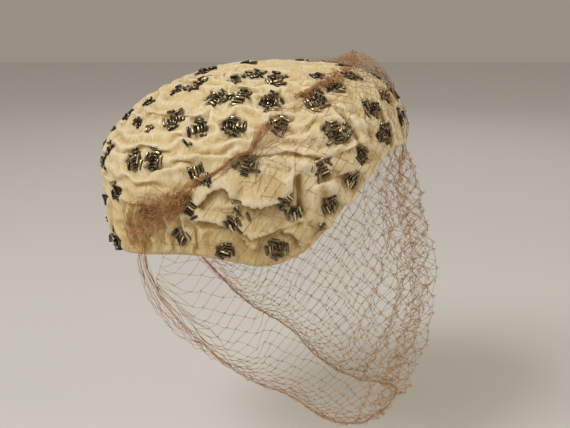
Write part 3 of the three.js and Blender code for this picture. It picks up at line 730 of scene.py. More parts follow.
def inside_mesh():
    """Rings of quads, closed at the top by quads that share one point."""
    share = np.linspace(0, INSIDE_EDGE, INSIDE_RINGS + 1)[1:, None]
    turn = np.arange(INSIDE_SIDES) * 360 / INSIDE_SIDES
    lift = np.full((INSIDE_RINGS, INSIDE_SIDES), INSIDE_LIFT * MM)
    grid = on_crown(turn + 0 * share, share * rim_down(turn), lift)
    index = np.arange(INSIDE_RINGS * INSIDE_SIDES).reshape(INSIDE_RINGS, INSIDE_SIDES)
    quads = np.stack([index[:-1], index[1:], np.roll(index[1:], -1, 1), np.roll(index[:-1], -1, 1)], -1)
    ring = index[0]
    top = len(index.ravel())
    halves = [(top, ring[k], ring[(k + 1) % INSIDE_SIDES], ring[(k + 2) % INSIDE_SIDES])
              for k in range(0, INSIDE_SIDES, 2)]
    points = np.vstack([grid.reshape(-1, 3), on_crown(0.0, INSIDE_TOP, INSIDE_LIFT * MM)])
    return points, np.vstack([quads.reshape(-1, 4), halves])


def inside_material():
    cloth = Nodes("ivory_inside_cloth")
    weave = cloth.add("ShaderNodeTexNoise", Vector=cloth.place(), Scale=900.0, Detail=1.0).outputs["Fac"]
    bump = cloth.add("ShaderNodeBump", Height=weave, Strength=0.3, Distance=0.0004)
    colour = cloth.ramp(weave, CLOTH_DARK, CLOTH_LIGHT)
    cloth.surface(Base_Color=colour, Roughness=0.9, Normal=bump.outputs["Normal"])
    return cloth.material


inside = make_mesh("crown_inside", *inside_mesh())
inside.data.materials.append(inside_material())
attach(inside, "root")

# ---------------------------------------------------------------- heaps of bugle beads
# Short tubes of dark bronze glass, two millimetres thick and five to six and a half long. Four to
# eighteen of them are sewn through their holes on top of a stitch that pulls the velvet down: some lie
# side by side, some across the others, and a few stand on end.
BEAD_RADIUS = 1.0  # mm
BEAD_HOLE = 0.5  # share of the radius
BEAD_BEVEL = 0.12
BEAD_LENGTHS = (4.8, 6.6)
BEAD_SIDES = 8
BEAD_RINGS = 6
BEAD_CLEAR = 1.95  # least distance between two beads, in radii
BEAD_SPOTS = 7  # places along a bead at which it is measured
BEAD_SINK = 0.2
BEAD_NESTLE = 0.5  # how deep a bead presses into the pile
BEAD_REST = 0.35  # where along its length, to each side, it rests
HEAP_TRIES = 90
HEAP_FULLNESS = 1.1
HEAP_ROOM = 17  # square millimetres for each bead
HEAP_REACH = 0.6
HEAP_LONGER = 1.35
HEAP_LAYERS = 3
LAYER_STEP = 1.75
HEAP_LIFT = VELVET_LEVEL - PUFF_DEPTH - BEAD_SINK
BUNDLE_SHARE = 0.6  # the share of a heap that lies side by side
BUNDLE_MOST = 7
BUNDLE_STEP = 2.35
BUNDLE_SLIP = (1.4, 0.3)  # mm that a bead strays along and across the bundle
BUNDLE_TURN = 7
CROSSING_TURN = (45, 35)  # degrees from the bundle, and how far that strays
STANDING_SHARE = 0.05
STANDING_RISE = (40, 65)
SCORE_STRAYS = 0.6
# How bright each bead's lining is painted, as a highlight on its outer side: dull, or gold for a share of the
# beads, with the stray of the side it faces.
DULL_LINING_HIGHLIGHT = (0.1, 0.62)
GOLD_LINING_HIGHLIGHT = (0.9, 1.15)
LINING_STRAYS = 0.25
GOLD_SHARE = 0.25
# The dark glass, which is also the painted shade on the sides turned away, and the painted highlight along
# the lining, lit brown and gold.
GLASS_DARK = (0.022, 0.017, 0.010, 1)
GLASS_LIT = (0.30, 0.24, 0.13, 1)
GLASS_GOLD_HIGHLIGHT = (0.95, 0.74, 0.38, 1)


def bead_heap(count, lie, seed):
    """Middle, direction and length in mm for each bead of a heap, on the flat, none in another: first a
    bundle side by side, then the rest across its ends or on top of it."""
    random = np.random.default_rng(seed)
    count = round(count * HEAP_FULLNESS)
    bundle = min(max(round(count * BUNDLE_SHARE), 1), BUNDLE_MOST)
    reach = HEAP_REACH * math.sqrt(count * HEAP_ROOM / math.pi)
    spots = np.linspace(-0.5, 0.5, BEAD_SPOTS)
    taken = np.full((1, 3), 1000.0)  # far off, so that the first bead is free
    beads = []
    for number in range(count):
        length = random.uniform(*BEAD_LENGTHS)
        stands = number >= bundle and random.random() < STANDING_SHARE
        best = None
        for layer in range(HEAP_LAYERS):
            for _ in range(HEAP_TRIES):
                if number < bundle:
                    beside = (number - (bundle - 1) / 2) * BUNDLE_STEP * BEAD_RADIUS
                    slip_along, slip_across = (random.uniform(-slip, slip) for slip in BUNDLE_SLIP)
                    spot = np.array([slip_along, beside + slip_across])
                    turn = math.radians(random.normal(0, BUNDLE_TURN))
                else:
                    spot = random.uniform(-1, 1, 2) * reach * np.array([HEAP_LONGER, 1.0])
                    turn = math.radians(random.normal(*CROSSING_TURN))
                rise = random.uniform(*STANDING_RISE) if stands else random.normal(0, 2 + 5 * layer)
                rise = math.radians(rise)
                direction = np.array([math.cos(turn) * math.cos(rise), math.sin(turn) * math.cos(rise),
                                      math.sin(rise)])
                height = BEAD_RADIUS * (1 + LAYER_STEP * layer) + abs(direction[2]) * length * 0.3
                middle = np.array([*spot, height])
                line = middle + spots[:, None] * direction * length
                if np.linalg.norm(line[:, None] - taken, axis=2).min() < BEAD_CLEAR * BEAD_RADIUS:
                    continue
                score = math.hypot(spot[0] / HEAP_LONGER, spot[1]) + random.uniform(0, SCORE_STRAYS)
                if best is None or score < best[0]:
                    best = (score, middle, direction, line)
            if best is not None:
                break
        if best is not None:
            taken = np.vstack([taken, best[3]])
            beads.append((best[1], best[2], length))
    turn = math.radians(lie + 90)
    spin = np.array([[math.cos(turn), -math.sin(turn), 0], [math.sin(turn), math.cos(turn), 0], [0, 0, 1]])
    return [(spin @ middle, spin @ direction, length) for middle, direction, length in beads]


def bead_tubes(beads):
    """Hollow tubes with softened ends from (middle, direction, length) in metres."""
    angles = np.arange(BEAD_SIDES) * 2 * np.pi / BEAD_SIDES
    points, quads = [], []
    for middle, direction, length in beads:
        side = np.cross(direction, (0.3, 0.5, 0.81))
        side /= np.linalg.norm(side)
        other = np.cross(direction, side)
        half, bevel = length / 2, BEAD_BEVEL * MM
        radius, hole = BEAD_RADIUS * MM, BEAD_RADIUS * BEAD_HOLE * MM
        profile = [(radius, -half + bevel), (radius, half - bevel), (radius - bevel, half), (hole, half),
                   (hole, -half), (radius - bevel, -half)]
        start = len(points) * BEAD_SIDES
        for reach, along in profile:
            points.append(middle + direction * along
                          + reach * (np.cos(angles)[:, None] * side + np.sin(angles)[:, None] * other))
        for ring in range(len(profile)):
            here, there = start + ring * BEAD_SIDES, start + (ring + 1) % len(profile) * BEAD_SIDES
            for k in range(BEAD_SIDES):
                n = (k + 1) % BEAD_SIDES
                quads.append((here + k, here + n, there + n, there + k))
    return np.vstack(points), quads


def crown_out(point):
    """About the direction straight out of the crown at a point."""
    out = point - np.array([0, 0, WIDEST_LEVEL])
    out = out / np.array([HEAD_WIDTH / 2, HEAD_FRONT, -WIDEST_LEVEL * 1.2]) ** 2
    if point[2] < WIDEST_LEVEL:
        out[2] = 0
    return out / np.linalg.norm(out)


velvet_tree = tree_of(fine_points)


def rest_on_velvet(middle, direction, length):
    """The bead raised or tipped until neither end is deep in the velvet."""
    ends = [middle + direction * length * share for share in (-BEAD_REST, BEAD_REST)]
    for k, end in enumerate(ends):
        out = crown_out(end)
        height = (end - np.array(velvet_tree.find(end)[0])) @ out
        ends[k] = end + out * max((BEAD_RADIUS - BEAD_NESTLE) * MM - height, 0)
    along = ends[1] - ends[0]
    return (ends[0] + ends[1]) / 2, along / np.linalg.norm(along), length


def place_heap(number, around, down, count, lie):
    """The beads of one heap where they are sewn on the crown."""
    around, down = float(around), float(down)
    normal = crown_normal(around, down)
    level = np.cross((0, 0, 1), normal)
    level /= np.linalg.norm(level)
    frame_here = np.stack([level, np.cross(normal, level), normal], -1)
    foot = on_crown(around, down, HEAP_LIFT * MM)
    return [rest_on_velvet(foot + frame_here @ (middle * MM), frame_here @ direction, length * MM)
            for middle, direction, length in bead_heap(count, lie, 100 + number)]


def colour_beads(heap, beads, seed):
    """Each bead's lining, painted as a bright highlight along its outer side that fades to painted shade
    towards its edges, in a point attribute, 0 to 1.
    """
    random = np.random.default_rng(seed)
    corners = points_of(heap.data).reshape(len(beads), BEAD_RINGS, BEAD_SIDES, 3)
    lining_and_highlight = np.zeros(corners.shape[:3])
    for number, (middle, direction, _) in enumerate(beads):
        aim = crown_out(middle) + random.normal(0, LINING_STRAYS, 3)
        away = corners[number] - middle
        away -= (away @ direction)[..., None] * direction
        facing = np.clip((away @ aim) / (np.linalg.norm(away, axis=2) * np.linalg.norm(aim)), 0, 1)
        shades = GOLD_LINING_HIGHLIGHT if random.random() < GOLD_SHARE else DULL_LINING_HIGHLIGHT
        lining_and_highlight[number, :2] = random.uniform(*shades) * facing[:2] ** 2
    heap.data.attributes.new("lining_and_highlight", "FLOAT", "POINT").data.foreach_set("value", lining_and_highlight.ravel())


def bead_material():
    glass = Nodes("bronze_bugle_glass")
    lining_and_highlight = glass.attribute("lining_and_highlight")
    streaks = glass.add("ShaderNodeTexNoise", Vector=glass.place(), Scale=700.0, Detail=2.0)
    # Painted highlight and shade: the lining on the side out of the crown runs from the dark glass through
    # lit brown to gold, and the sides turned away stay dark.
    dull = glass.ramp(lining_and_highlight, GLASS_DARK, GLASS_LIT, (0.05, 0.6))
    colour = glass.mix(glass.spread(lining_and_highlight, (0.68, 0.85)), dull, GLASS_GOLD_HIGHLIGHT)
    bump = glass.add("ShaderNodeBump", Height=streaks.outputs["Fac"], Strength=0.15, Distance=0.0003)
    glass.surface(Base_Color=colour, Metallic=0.7, Roughness=0.17, Normal=bump.outputs["Normal"])
    glass.surface(Coat_Weight=0.6, Coat_Roughness=0.06)
    return glass.material


bronze_glass = bead_material()


def finish_beads(name, beads, seed):
    heap = make_mesh(name, *bead_tubes(beads))
    colour_beads(heap, beads, seed)
    heap.data.materials.append(bronze_glass)
    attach(heap, "root")
    return heap


small_beads, all_beads = [], []
for number, (around, down, count, lie) in enumerate(heaps):
    beads = place_heap(number, around, down, count, lie)
    all_beads += beads
    if number >= HEAP_NODES:
        small_beads += beads
        continue
    node = f"bead_cluster_{number + 1:02d}"
    heap = finish_beads(node.replace("bead_cluster", "bead_heap"), beads, number)
    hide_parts(node)

# Smaller heaps and single beads between the large ones, on the wearer's right: around, down, beads
SMALL_HEAPS = [
    (142, 62, 3), (121, 69, 2), (98, 97, 1), (98, 101, 2), (93, 104, 1), (60, 108, 2), (178, 79, 4),
    (176, 91, 3), (107, 124, 4), (166, 25, 4), (140, 28, 4), (111, 88, 5),
]
for side in (1, -1):
    for number, (around, down, count) in enumerate(SMALL_HEAPS):
        lowest = float(rim_down(side * around)) - EDGE_MARGIN
        small_beads += place_heap(200 + number * side, side * around, min(down, lowest), count, 50 * number)
finish_beads("small_bead_heaps", small_beads, 99)

# ---------------------------------------------------------------- net veil
# One piece of tan knotted net with diamond meshes. Its upper edge is drawn up along an arc over the
# crown, its ends are bunched behind the ears, and it hangs free round the face to a gathered hem.

# around, down, and half width and height in mm, of the drawn-up edge
GATHER = [
    (0, 24, 3.5, 3.5), (20, 27, 4, 3.5), (42, 33, 4, 4), (53, 38, 6, 5), (63, 45, 4.5, 4),
    (76, 55, 3.5, 3), (87, 64, 3, 3), (91, 73, 4.5, 4.5), (99, 77, 3, 3), (107, 84, 2.5, 2.5),
    (116, 89, 3.5, 3), (123, 96, 7, 4), (130, 102, 11, 5), (138, 107, 14, 6), (146, 112, 9, 5),
]
# around, and level and distance from the axis in mm, of the hem
HEM_FRONT = [(0, -241, 105), (12, -246, 97), (24, -250, 85), (44, -240, 69)]
HEM = HEM_FRONT + [(69, -216, 62), (100, -196, 65), (119, -170, 78), (132, -130, 96)]
NET_END = 132  # degrees to each side
NET_LIFT = 0.5  # mm above the crown, reached at this share of the way to the rim
NET_LIFT_REACHED = 0.1
LEAST_ON_CROWN = 4  # degrees that each line of the net lies on the crown at least
# The net stands up in a puff in front of its drawn-up edge: share of the way to the rim, height in mm.
NET_PUFF = [(0, 7), (0.06, 9.5), (0.15, 9.5), (0.3, 6), (0.45, 4), (0.6, 1.5), (1, 0)]
NET_PUFF_AROUND = 38
NET_FRONT_BULGE = 19  # mm
NET_SIDE_BULGE = 3
LINE_FINENESS = 60
NET_COLUMNS = 88
NET_ROWS = 60
NET_STEP = 6.0  # mm from row to row
NET_EVEN = 0.52  # 1 where the columns are evenly spaced, less where they crowd to the front
# How far the knots stray, in mm: where the net is slack, crumpled in its puff, or tangled.
KNOTS_STRAY = 0.6
NET_SLACK = 3.0
SLACK_FINENESS = 40
NET_CRUMPLE = 3.5
CRUMPLE_FINENESS = 110
CRUMPLED_REACH = 32
TANGLED = 1.4
TANGLED_REACH = 14
TANGLED_AROUND = 90
FRONT_TANGLED = 0.8
WANDER_SHIFTS = (12.9, 45.3, 78.1)  # one reading of the noise for each direction
TOP_CROWDS = (24, 4)  # mm, at the front and at the side
TOP_CROWDS_AROUND = 74
HEM_CROWDS = 9
TOP_SPARE = 50  # mm of net taken up at the top
HEM_SPARE = 55
FRONT_FOLDS = 0.5
FRONT_FOLD_DEPTH = 8.0
FRONT_FOLDS_AROUND = 30
NET_HANGS_BELOW = -0.04  # level below which the net can hang free
NEAR_HAT = 0.006
NET_SUNK = (-0.08, 0.25)  # mm that a strand on the hat stands above the pile
STRAND_RADIUS = 0.17
STRAND_ON_HAT = 0.14  # the rest is sunk in the pile
STRAND_SIDES = 3
STRAND_STEPS = 4
TUBES_ROUND = -0.06  # level of the place that one side of each strand faces
STRAND_SAG = 0.35
STRAND_STRAYS = 0.45
KNOT_SIZE = 2.7  # strand radii
KNOT_ENDS = 3
KNOT_END_RADIUS = 0.13
KNOT_END_LENGTHS = (1.0, 2.6)
SHORTEST_ENDS = 0.45  # their share of that length at the back
LONG_ENDS_FROM = (0.03, 0.07)  # metres forward
TAN_DARK = (0.46, 0.27, 0.12, 1)
TAN_LIGHT = (0.78, 0.51, 0.26, 1)
TAN_ON_HAT = (0.36, 0.19, 0.08, 1)
GOLD_DARK = (0.60, 0.36, 0.15, 1)
GOLD_LIGHT = (0.90, 0.62, 0.32, 1)


def strand_line(around):
    """A fine line down the net, from the drawn-up edge over the crown and on to the hem."""
    top = eased(GATHER, 1, around)
    edge = max(float(rim_down(around)), top + LEAST_ON_CROWN)
    t = np.linspace(0, 1, LINE_FINENESS)
    puff = np.interp(t, *np.array(NET_PUFF).T) * math.exp(-((around / NET_PUFF_AROUND) ** 4))
    puff *= 0.85 + 0.15 * np.sin(FRONT_FOLDS * around + 5 * t)
    start_lift = VELVET_LEVEL + 0.8 + eased(GATHER, 3, around) / 2
    lift = start_lift + (NET_LIFT - start_lift) * np.minimum(t / NET_LIFT_REACHED, 1)
    over = on_crown(np.full(len(t), float(around)), top + (edge - top) * t, (lift + puff) * MM)
    start = over[-1]
    start_radius = math.hypot(start[0], start[1])
    t = t[1:]
    facing = max(math.cos(math.radians(around)), 0)
    bulge = (NET_SIDE_BULGE + NET_FRONT_BULGE * facing**3) * MM
    radius = start_radius + (eased(HEM, 2, around) * MM - start_radius) * t + bulge * np.sin(np.pi * t**1.22)
    level = start[2] + (eased(HEM, 1, around) * MM - start[2]) * t
    fullness = math.exp(-((around / FRONT_FOLDS_AROUND) ** 4)) * smooth_step(t, 0.0, 0.15)
    folds = np.sin(FRONT_FOLDS * around * (1 + 0.15 * np.sin(4 * t)) + 3 * t)
    radius = radius - fullness * FRONT_FOLD_DEPTH * MM * (0.45 + folds)
    turn = math.radians(around)
    hanging = np.stack([-radius * math.sin(turn), -radius * math.cos(turn), level], -1)
    return np.vstack([over, hanging])


def column_knots(around):
    """The knots down one column of the net, crowded where it is gathered at its top and its hem, and
    the number of rows down to the hem."""
    line = strand_line(around)
    reach = np.concatenate([[0], np.cumsum(np.linalg.norm(np.diff(line, axis=0), axis=1))]) / MM
    spare = max(NET_ROWS * NET_STEP - reach[-1], 0)
    at_front = math.exp(-((around / TOP_CROWDS_AROUND) ** 8))
    top_crowds = TOP_CROWDS[1] + (TOP_CROWDS[0] - TOP_CROWDS[1]) * at_front
    at_top = min(spare, TOP_SPARE)
    at_hem = min(spare - at_top, HEM_SPARE)
    crowd = (1 + at_top / top_crowds * np.exp(-reach / top_crowds)
             + at_hem / HEM_CROWDS * np.exp(-(reach[-1] - reach) / HEM_CROWDS))
    rows = np.concatenate([[0], np.cumsum((crowd[1:] + crowd[:-1]) / 2 * np.diff(reach))])
    even = np.arange(NET_ROWS + 1) * NET_STEP
    return np.stack([np.interp(even, rows, line[:, k]) for k in range(3)], -1), int(rows[-1] / NET_STEP)


def wandering(knots, fineness):
    """A smooth move for every knot, of up to a unit or so in each direction."""
    places = [[Vector(knot) * fineness for knot in column] for column in knots]
    return np.array([[[noise.noise(place + Vector((shift, 0, 0))) for shift in WANDER_SHIFTS]
                      for place in column] for column in places])


def net_knots():
    """The knots, column by column, and the rows that each column has down to the hem."""
    across = 2 * np.arange(NET_COLUMNS + 1) / NET_COLUMNS - 1
    arounds = NET_END * (NET_EVEN * across + (1 - NET_EVEN) * across**3)
    columns = [column_knots(a) for a in arounds]
    knots = np.array([column for column, _ in columns])
    random = np.random.default_rng(7)
    turned = np.abs(arounds)[:, None] + 0 * knots[..., 0]
    down = np.linalg.norm(knots - knots[:, :1], axis=2) / MM
    tangled = TANGLED * np.exp(-((down / TANGLED_REACH) ** 2))
    tangled = tangled * (turned > NET_PUFF_AROUND) * (turned < TANGLED_AROUND)
    tangled += FRONT_TANGLED * (turned < FRONT_FOLDS_AROUND)
    crumpled = np.exp(-((down / CRUMPLED_REACH) ** 2)) * np.exp(-((turned / NET_PUFF_AROUND) ** 4))
    crumple = wandering(knots, CRUMPLE_FINENESS)
    slack = wandering(knots, SLACK_FINENESS)
    knots = (knots + slack * NET_SLACK * MM + crumple * NET_CRUMPLE * MM * crumpled[..., None]
             + random.normal(0, MM, knots.shape) * (KNOTS_STRAY + tangled)[..., None])
    return knots, [rows for _, rows in columns]


def tubes(lines, radius):
    """Thin tubes along lines that all have the same number of points."""
    lines = np.asarray(lines, float)
    along = np.gradient(lines, axis=1)
    along /= np.linalg.norm(along, axis=2, keepdims=True) + 1e-12
    side = np.cross(along, lines - np.array([0, 0, TUBES_ROUND]) + 1e-5)
    side /= np.linalg.norm(side, axis=2, keepdims=True) + 1e-12
    other = np.cross(along, side)
    angles = np.arange(STRAND_SIDES) * 2 * np.pi / STRAND_SIDES
    ring = np.cos(angles)[:, None] * side[:, :, None] + np.sin(angles)[:, None] * other[:, :, None]
    points = (lines[:, :, None] + np.asarray(radius)[..., None, None] * ring).reshape(-1, 3)
    index = np.arange(len(points)).reshape(lines.shape[0], lines.shape[1], STRAND_SIDES)
    here, there = index[:, :-1], index[:, 1:]
    quads = np.stack([here, np.roll(here, -1, 2), np.roll(there, -1, 2), there], -1).reshape(-1, 4)
    return points, quads


def join(parts):
    """Several (points, faces) as one."""
    points, faces, start = [], [], 0
    for some_points, some_faces in parts:
        points.append(some_points)
        faces.append(np.asarray(some_faces) + start)
        start += len(some_points)
    return np.vstack(points), np.vstack(faces)


def knot_ends(places, seed):
    """The short ends of thread that stand out of each knot."""
    random = np.random.default_rng(seed)
    starts = np.repeat(places, KNOT_ENDS, axis=0)
    reach = random.normal(0, 1, starts.shape)
    length = random.uniform(*KNOT_END_LENGTHS, (len(starts), 1)) * MM
    reach *= length / np.linalg.norm(reach, axis=1, keepdims=True)
    reach *= SHORTEST_ENDS + (1 - SHORTEST_ENDS) * smooth_step(-starts[:, 1:2], *LONG_ENDS_FROM)
    lines = np.stack([starts, starts + reach * 0.6, starts + reach + reach[:, ::-1] * 0.2], 1)
    return tubes(lines, KNOT_END_RADIUS * MM)


def knot_lumps(places, radius):
    """A small lump with eight faces at each knot."""
    corners = np.array([(1, 0, 0), (0, 1, 0), (-1, 0, 0), (0, -1, 0), (0, 0, 1), (0, 0, -1)], float)
    faces = np.array([(0, 1, 4), (1, 2, 4), (2, 3, 4), (3, 0, 4), (1, 0, 5), (2, 1, 5), (3, 2, 5), (0, 3, 5)])
    points = (places[:, None] + corners * radius[:, None, None]).reshape(-1, 3)
    triangles = (faces + len(corners) * np.arange(len(places))[:, None, None]).reshape(-1, 3)
    return points, triangles


# The velvet and the tops of the beads, for laying strands on.
TOP_SPOTS = 5
bead_tops = [middle + direction * length * spot + crown_out(middle) * BEAD_RADIUS * MM
             for middle, direction, length in all_beads for spot in np.linspace(-0.5, 0.5, TOP_SPOTS)]
cover_tree = tree_of(np.vstack([fine_points, bead_tops]))


def lay_on_velvet(lines, clear):
    """Moves the points of lines that are in or too near the velvet or a bead out of it, and says which
    points are on the hat."""
    laid = lines.reshape(-1, 3).copy()
    clear = np.broadcast_to(clear, lines.shape[:2]).ravel()
    on_hat = np.zeros(len(laid), bool)
    for k, point in enumerate(laid):
        place, _, away = cover_tree.find(point)
        on_hat[k] = away < NEAR_HAT
        if on_hat[k]:
            out = crown_out(point)
            height = float((point - np.array(place)) @ out)
            if height < clear[k] * MM:
                laid[k] = point + out * (clear[k] * MM - height)
    return laid.reshape(lines.shape), on_hat.reshape(lines.shape[:2])


def strand_ends(knots, rows_to_hem):
    """The two knots at the ends of each strand: knots that alternate from row to row, and those along
    the net's two side edges."""
    ends = []
    for column in range(NET_COLUMNS + 1):
        for row in range(column % 2, NET_ROWS, 2):
            for beside in (column - 1, column + 1):
                if 0 <= beside <= NET_COLUMNS and row < min(rows_to_hem[column], rows_to_hem[beside]):
                    ends.append((knots[column, row], knots[beside, row + 1]))
    for column in (0, NET_COLUMNS):
        ends += [(knots[column, row], knots[column, row + 2]) for row in range(0, rows_to_hem[column] - 1, 2)]
    return np.array(ends)


ends = strand_ends(*net_knots())
t = np.linspace(0, 1, STRAND_STEPS + 1)[None, :, None]
random = np.random.default_rng(11)
sag = random.normal(0, STRAND_STRAYS * MM, (len(ends), 1, 3)) - np.array([0, 0, STRAND_SAG * MM])
strands = ends[:, :1] * (1 - t) + ends[:, 1:] * t + sag * np.sin(np.pi * t)
strands, on_hat = lay_on_velvet(strands, random.uniform(*NET_SUNK, (len(ends), 1)))
thickness = np.where(on_hat | (strands[..., 2] > NET_HANGS_BELOW), STRAND_ON_HAT, STRAND_RADIUS)
net = make_mesh("net_veil", *tubes(strands, thickness * MM))
lies_on_hat = net.data.attributes.new("on_hat", "FLOAT", "POINT")
lies_on_hat.data.foreach_set("value", np.repeat(on_hat.ravel(), STRAND_SIDES) * 1.0)
net_dots = make_mesh("net_knots", *knot_lumps(strands[:, 0], KNOT_SIZE * thickness[:, 0] * MM))
hanging = strands[:, 0, 2] < NET_HANGS_BELOW
net_ends = make_mesh("net_knot_ends", *knot_ends(strands[hanging & ~on_hat[:, 0], 0], 12))


def thread_material(name, dark, light, on_hat=None):
    """Twisted thread in two shades, and a deeper one where it lies on the hat."""
    thread = Nodes(name)
    place = thread.place()
    patches = thread.add("ShaderNodeTexNoise", Vector=place, Scale=160.0, Detail=3.0)
    twist = thread.add("ShaderNodeTexNoise", Vector=place, Scale=2500.0)
    bump = thread.add("ShaderNodeBump", Height=twist.outputs["Fac"], Strength=0.4, Distance=0.0002)
    colour = thread.ramp(patches.outputs["Fac"], dark, light)
    if on_hat:
        colour = thread.mix(thread.attribute("on_hat"), colour, on_hat)
    thread.surface(Base_Color=colour, Roughness=0.6, Normal=bump.outputs["Normal"])
    return thread.material


tan_thread = thread_material("tan_net_thread", TAN_DARK, TAN_LIGHT, TAN_ON_HAT)
gold_thread = thread_material("golden_thread_ends", GOLD_DARK, GOLD_LIGHT)
for piece, finish in ((net, tan_thread), (net_dots, gold_thread), (net_ends, gold_thread)):
    piece.data.materials.append(finish)
    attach(piece, "root")
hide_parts(*[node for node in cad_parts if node.startswith("veil_net")])

# ---------------------------------------------------------------- drawn-up edge of the net
# Along the arc the net is drawn up on a thread into a thin rope, loose over the temple, and behind each
# ear its end is bunched into a flat wad of tangled strands. Stitches hold both to the velvet.

# around, and half width and height in mm, of the strands
ROPE = [
    (0, 5, 10), (20, 6, 9), (38, 6, 5), (44, 6, 4), (50, 3.6, 3), (57, 2.8, 2.5), (64, 7, 2),
    (72, 11, 2), (82, 8, 2), (88, 2.6, 2.5), (92, 1.5, 2.2), (99, 0.9, 1.5), (107, 0.9, 1.5),
    (112, 1.5, 2), (118, 3, 2.5), (125, 7, 3), (131, 12, 4), (138, 13, 4), (146, 9, 3),
]
# How far round each stretch of rope goes, and the strands in it.
ROPE_STRETCHES = [(-128, 128, 3), (-130, -86, 20), (86, 130, 20), (-63, 63, 3), (-63, -34, 8), (34, 63, 8)]
ROPE_STEPS = 130
ROPE_ENDS_STRAY = 4
ROPE_FARTHEST = 146
ROPE_PACES = (0.05, 0.16)  # how quickly a strand sways from side to side
ROPE_SWAY = 1.9
ROPE_CURL = 0.8
ROPE_FOOT = 0.6
GATHER_CLEAR = 0.2  # mm from the velvet
GATHER_DARK = (0.40, 0.165, 0.05, 1)
GATHER_LIGHT = (0.76, 0.41, 0.15, 1)


def noise_along(values, pace, start, row, layer):
    """Smooth noise for each value, read along a line."""
    return np.array([noise.noise(Vector((start + value * pace, row, layer))) for value in values])


def crinkle(values, pace, start):
    """The small waves of a loose thread."""
    return noise_along(values, pace, start, start * 1.7, 3)


def rope_place(around, aside, above):
    """Places in the rope: around, and mm to the side of its middle and above the crown."""
    down = eased(GATHER, 1, around)
    foot = crown_point(around, down)
    normal = crown_normal(around, down)
    step = SLOPE_STEP * np.sign(around + 1e-9)
    ahead = crown_point(around + step, eased(GATHER, 1, around + step)) - foot
    across = np.cross(ahead, normal)
    across /= np.linalg.norm(across, axis=-1, keepdims=True)
    return foot + (across * np.asarray(aside)[..., None] + normal * np.asarray(above)[..., None]) * MM


def rope_lines():
    """The strands that run along the drawn-up edge."""
    random = np.random.default_rng(5)
    lines = []
    for begin, end in [stretch[:2] for stretch in ROPE_STRETCHES for _ in range(stretch[2])]:
        begin, end = (place + random.uniform(-ROPE_ENDS_STRAY, ROPE_ENDS_STRAY) for place in (begin, end))
        around = np.clip(np.linspace(begin, end, ROPE_STEPS), -ROPE_FARTHEST, ROPE_FARTHEST)
        wide, high = eased(ROPE, 1, around), eased(ROPE, 2, around)
        start, row = random.uniform(0, 100, 2)
        sway = noise_along(around, random.uniform(*ROPE_PACES), start, row, 0) * ROPE_SWAY
        curl = noise_along(around, 1.1, row, start, 5)
        rise = noise_along(around, 0.2, start, row, 9)
        lines.append(rope_place(around, wide * (np.clip(sway, -1, 1) + ROPE_CURL * curl),
                                ROPE_FOOT + high * np.clip(0.5 + rise, 0, 1.1)))
    return lay_on_velvet(np.array(lines), GATHER_CLEAR)[0]


# A strand of a wad wanders about its own place; its steps are in mm, and its turns in radians.
WAD_STRANDS = 115
WAD_STEPS = 22
WAD_STEP = 0.9
WAD_ENDS = (124, 148)  # degrees round
WAD_SPREAD = 0.45
WAD_TURNS = 0.2
WAD_KEEPS_TURNING = 0.93
WAD_FOOT = 0.8
DEGREE_ROUND = 1.4  # mm in a degree round the hat, at the wads


def wad_lines(side):
    """The tangled strands of the wad behind one ear."""
    random = np.random.default_rng(20 + side)
    lines = []
    for _ in range(WAD_STRANDS):
        around = random.uniform(*WAD_ENDS)
        wide, high = float(eased(ROPE, 1, around)), float(eased(ROPE, 2, around))
        spot = np.array([0.0, random.normal(0, WAD_SPREAD) * wide])
        heading = random.uniform(0, 2 * np.pi)
        bend = random.normal(0, 0.5)
        level = random.uniform(WAD_FOOT, WAD_FOOT + high)
        path = []
        for _ in range(WAD_STEPS):
            path.append((around + spot[0] / DEGREE_ROUND, spot[1], level))
            bend = WAD_KEEPS_TURNING * bend + random.normal(0, WAD_TURNS)
            heading += bend
            spot = spot + WAD_STEP * np.array([math.cos(heading), math.sin(heading)])
            spot[1] = np.clip(spot[1], -1.25 * wide, 1.25 * wide)
            level = np.clip(level + random.normal(0, 0.35), 0.5, 1.2 * high)
        path = np.array(path)
        lines.append(rope_place(side * np.minimum(path[:, 0], WAD_ENDS[1] + 1), path[:, 1], path[:, 2]))
    return lay_on_velvet(np.array(lines), GATHER_CLEAR)[0]


WAD_LOOPS = 9
LOOP_RISE = (9, 21)
LOOP_CRINKLE = 1.2
LOOP_CLEAR = 0.3


def wad_loops(side):
    """Loose strands that stand up out of the wad and turn back into it."""
    random = np.random.default_rng(60 + side)
    middle = float(np.mean(WAD_ENDS)) * side
    upwards = np.sign(rope_place(middle, 1, 0)[2] - rope_place(middle, -1, 0)[2])
    lines = []
    for _ in range(WAD_LOOPS):
        start = random.uniform(WAD_ENDS[0], WAD_ENDS[1] - 8)
        peak, back = start + random.uniform(2, 9), start + random.uniform(8, 18)
        rise = upwards * random.uniform(*LOOP_RISE)
        corners = [(start, 0.2 * rise, 1.5), (peak, rise, 2.5), (back, 0.3 * rise, 1.5)]
        t = np.linspace(0, 1, WAD_STEPS)
        around, aside, above = (np.interp(t, (0, 0.45, 1), values) for values in zip(*corners))
        around = np.minimum(around, WAD_ENDS[1])
        lines.append(rope_place(side * around, aside + LOOP_CRINKLE * crinkle(t, 5, start), above))
    return lay_on_velvet(np.array(lines), LOOP_CLEAR)[0]


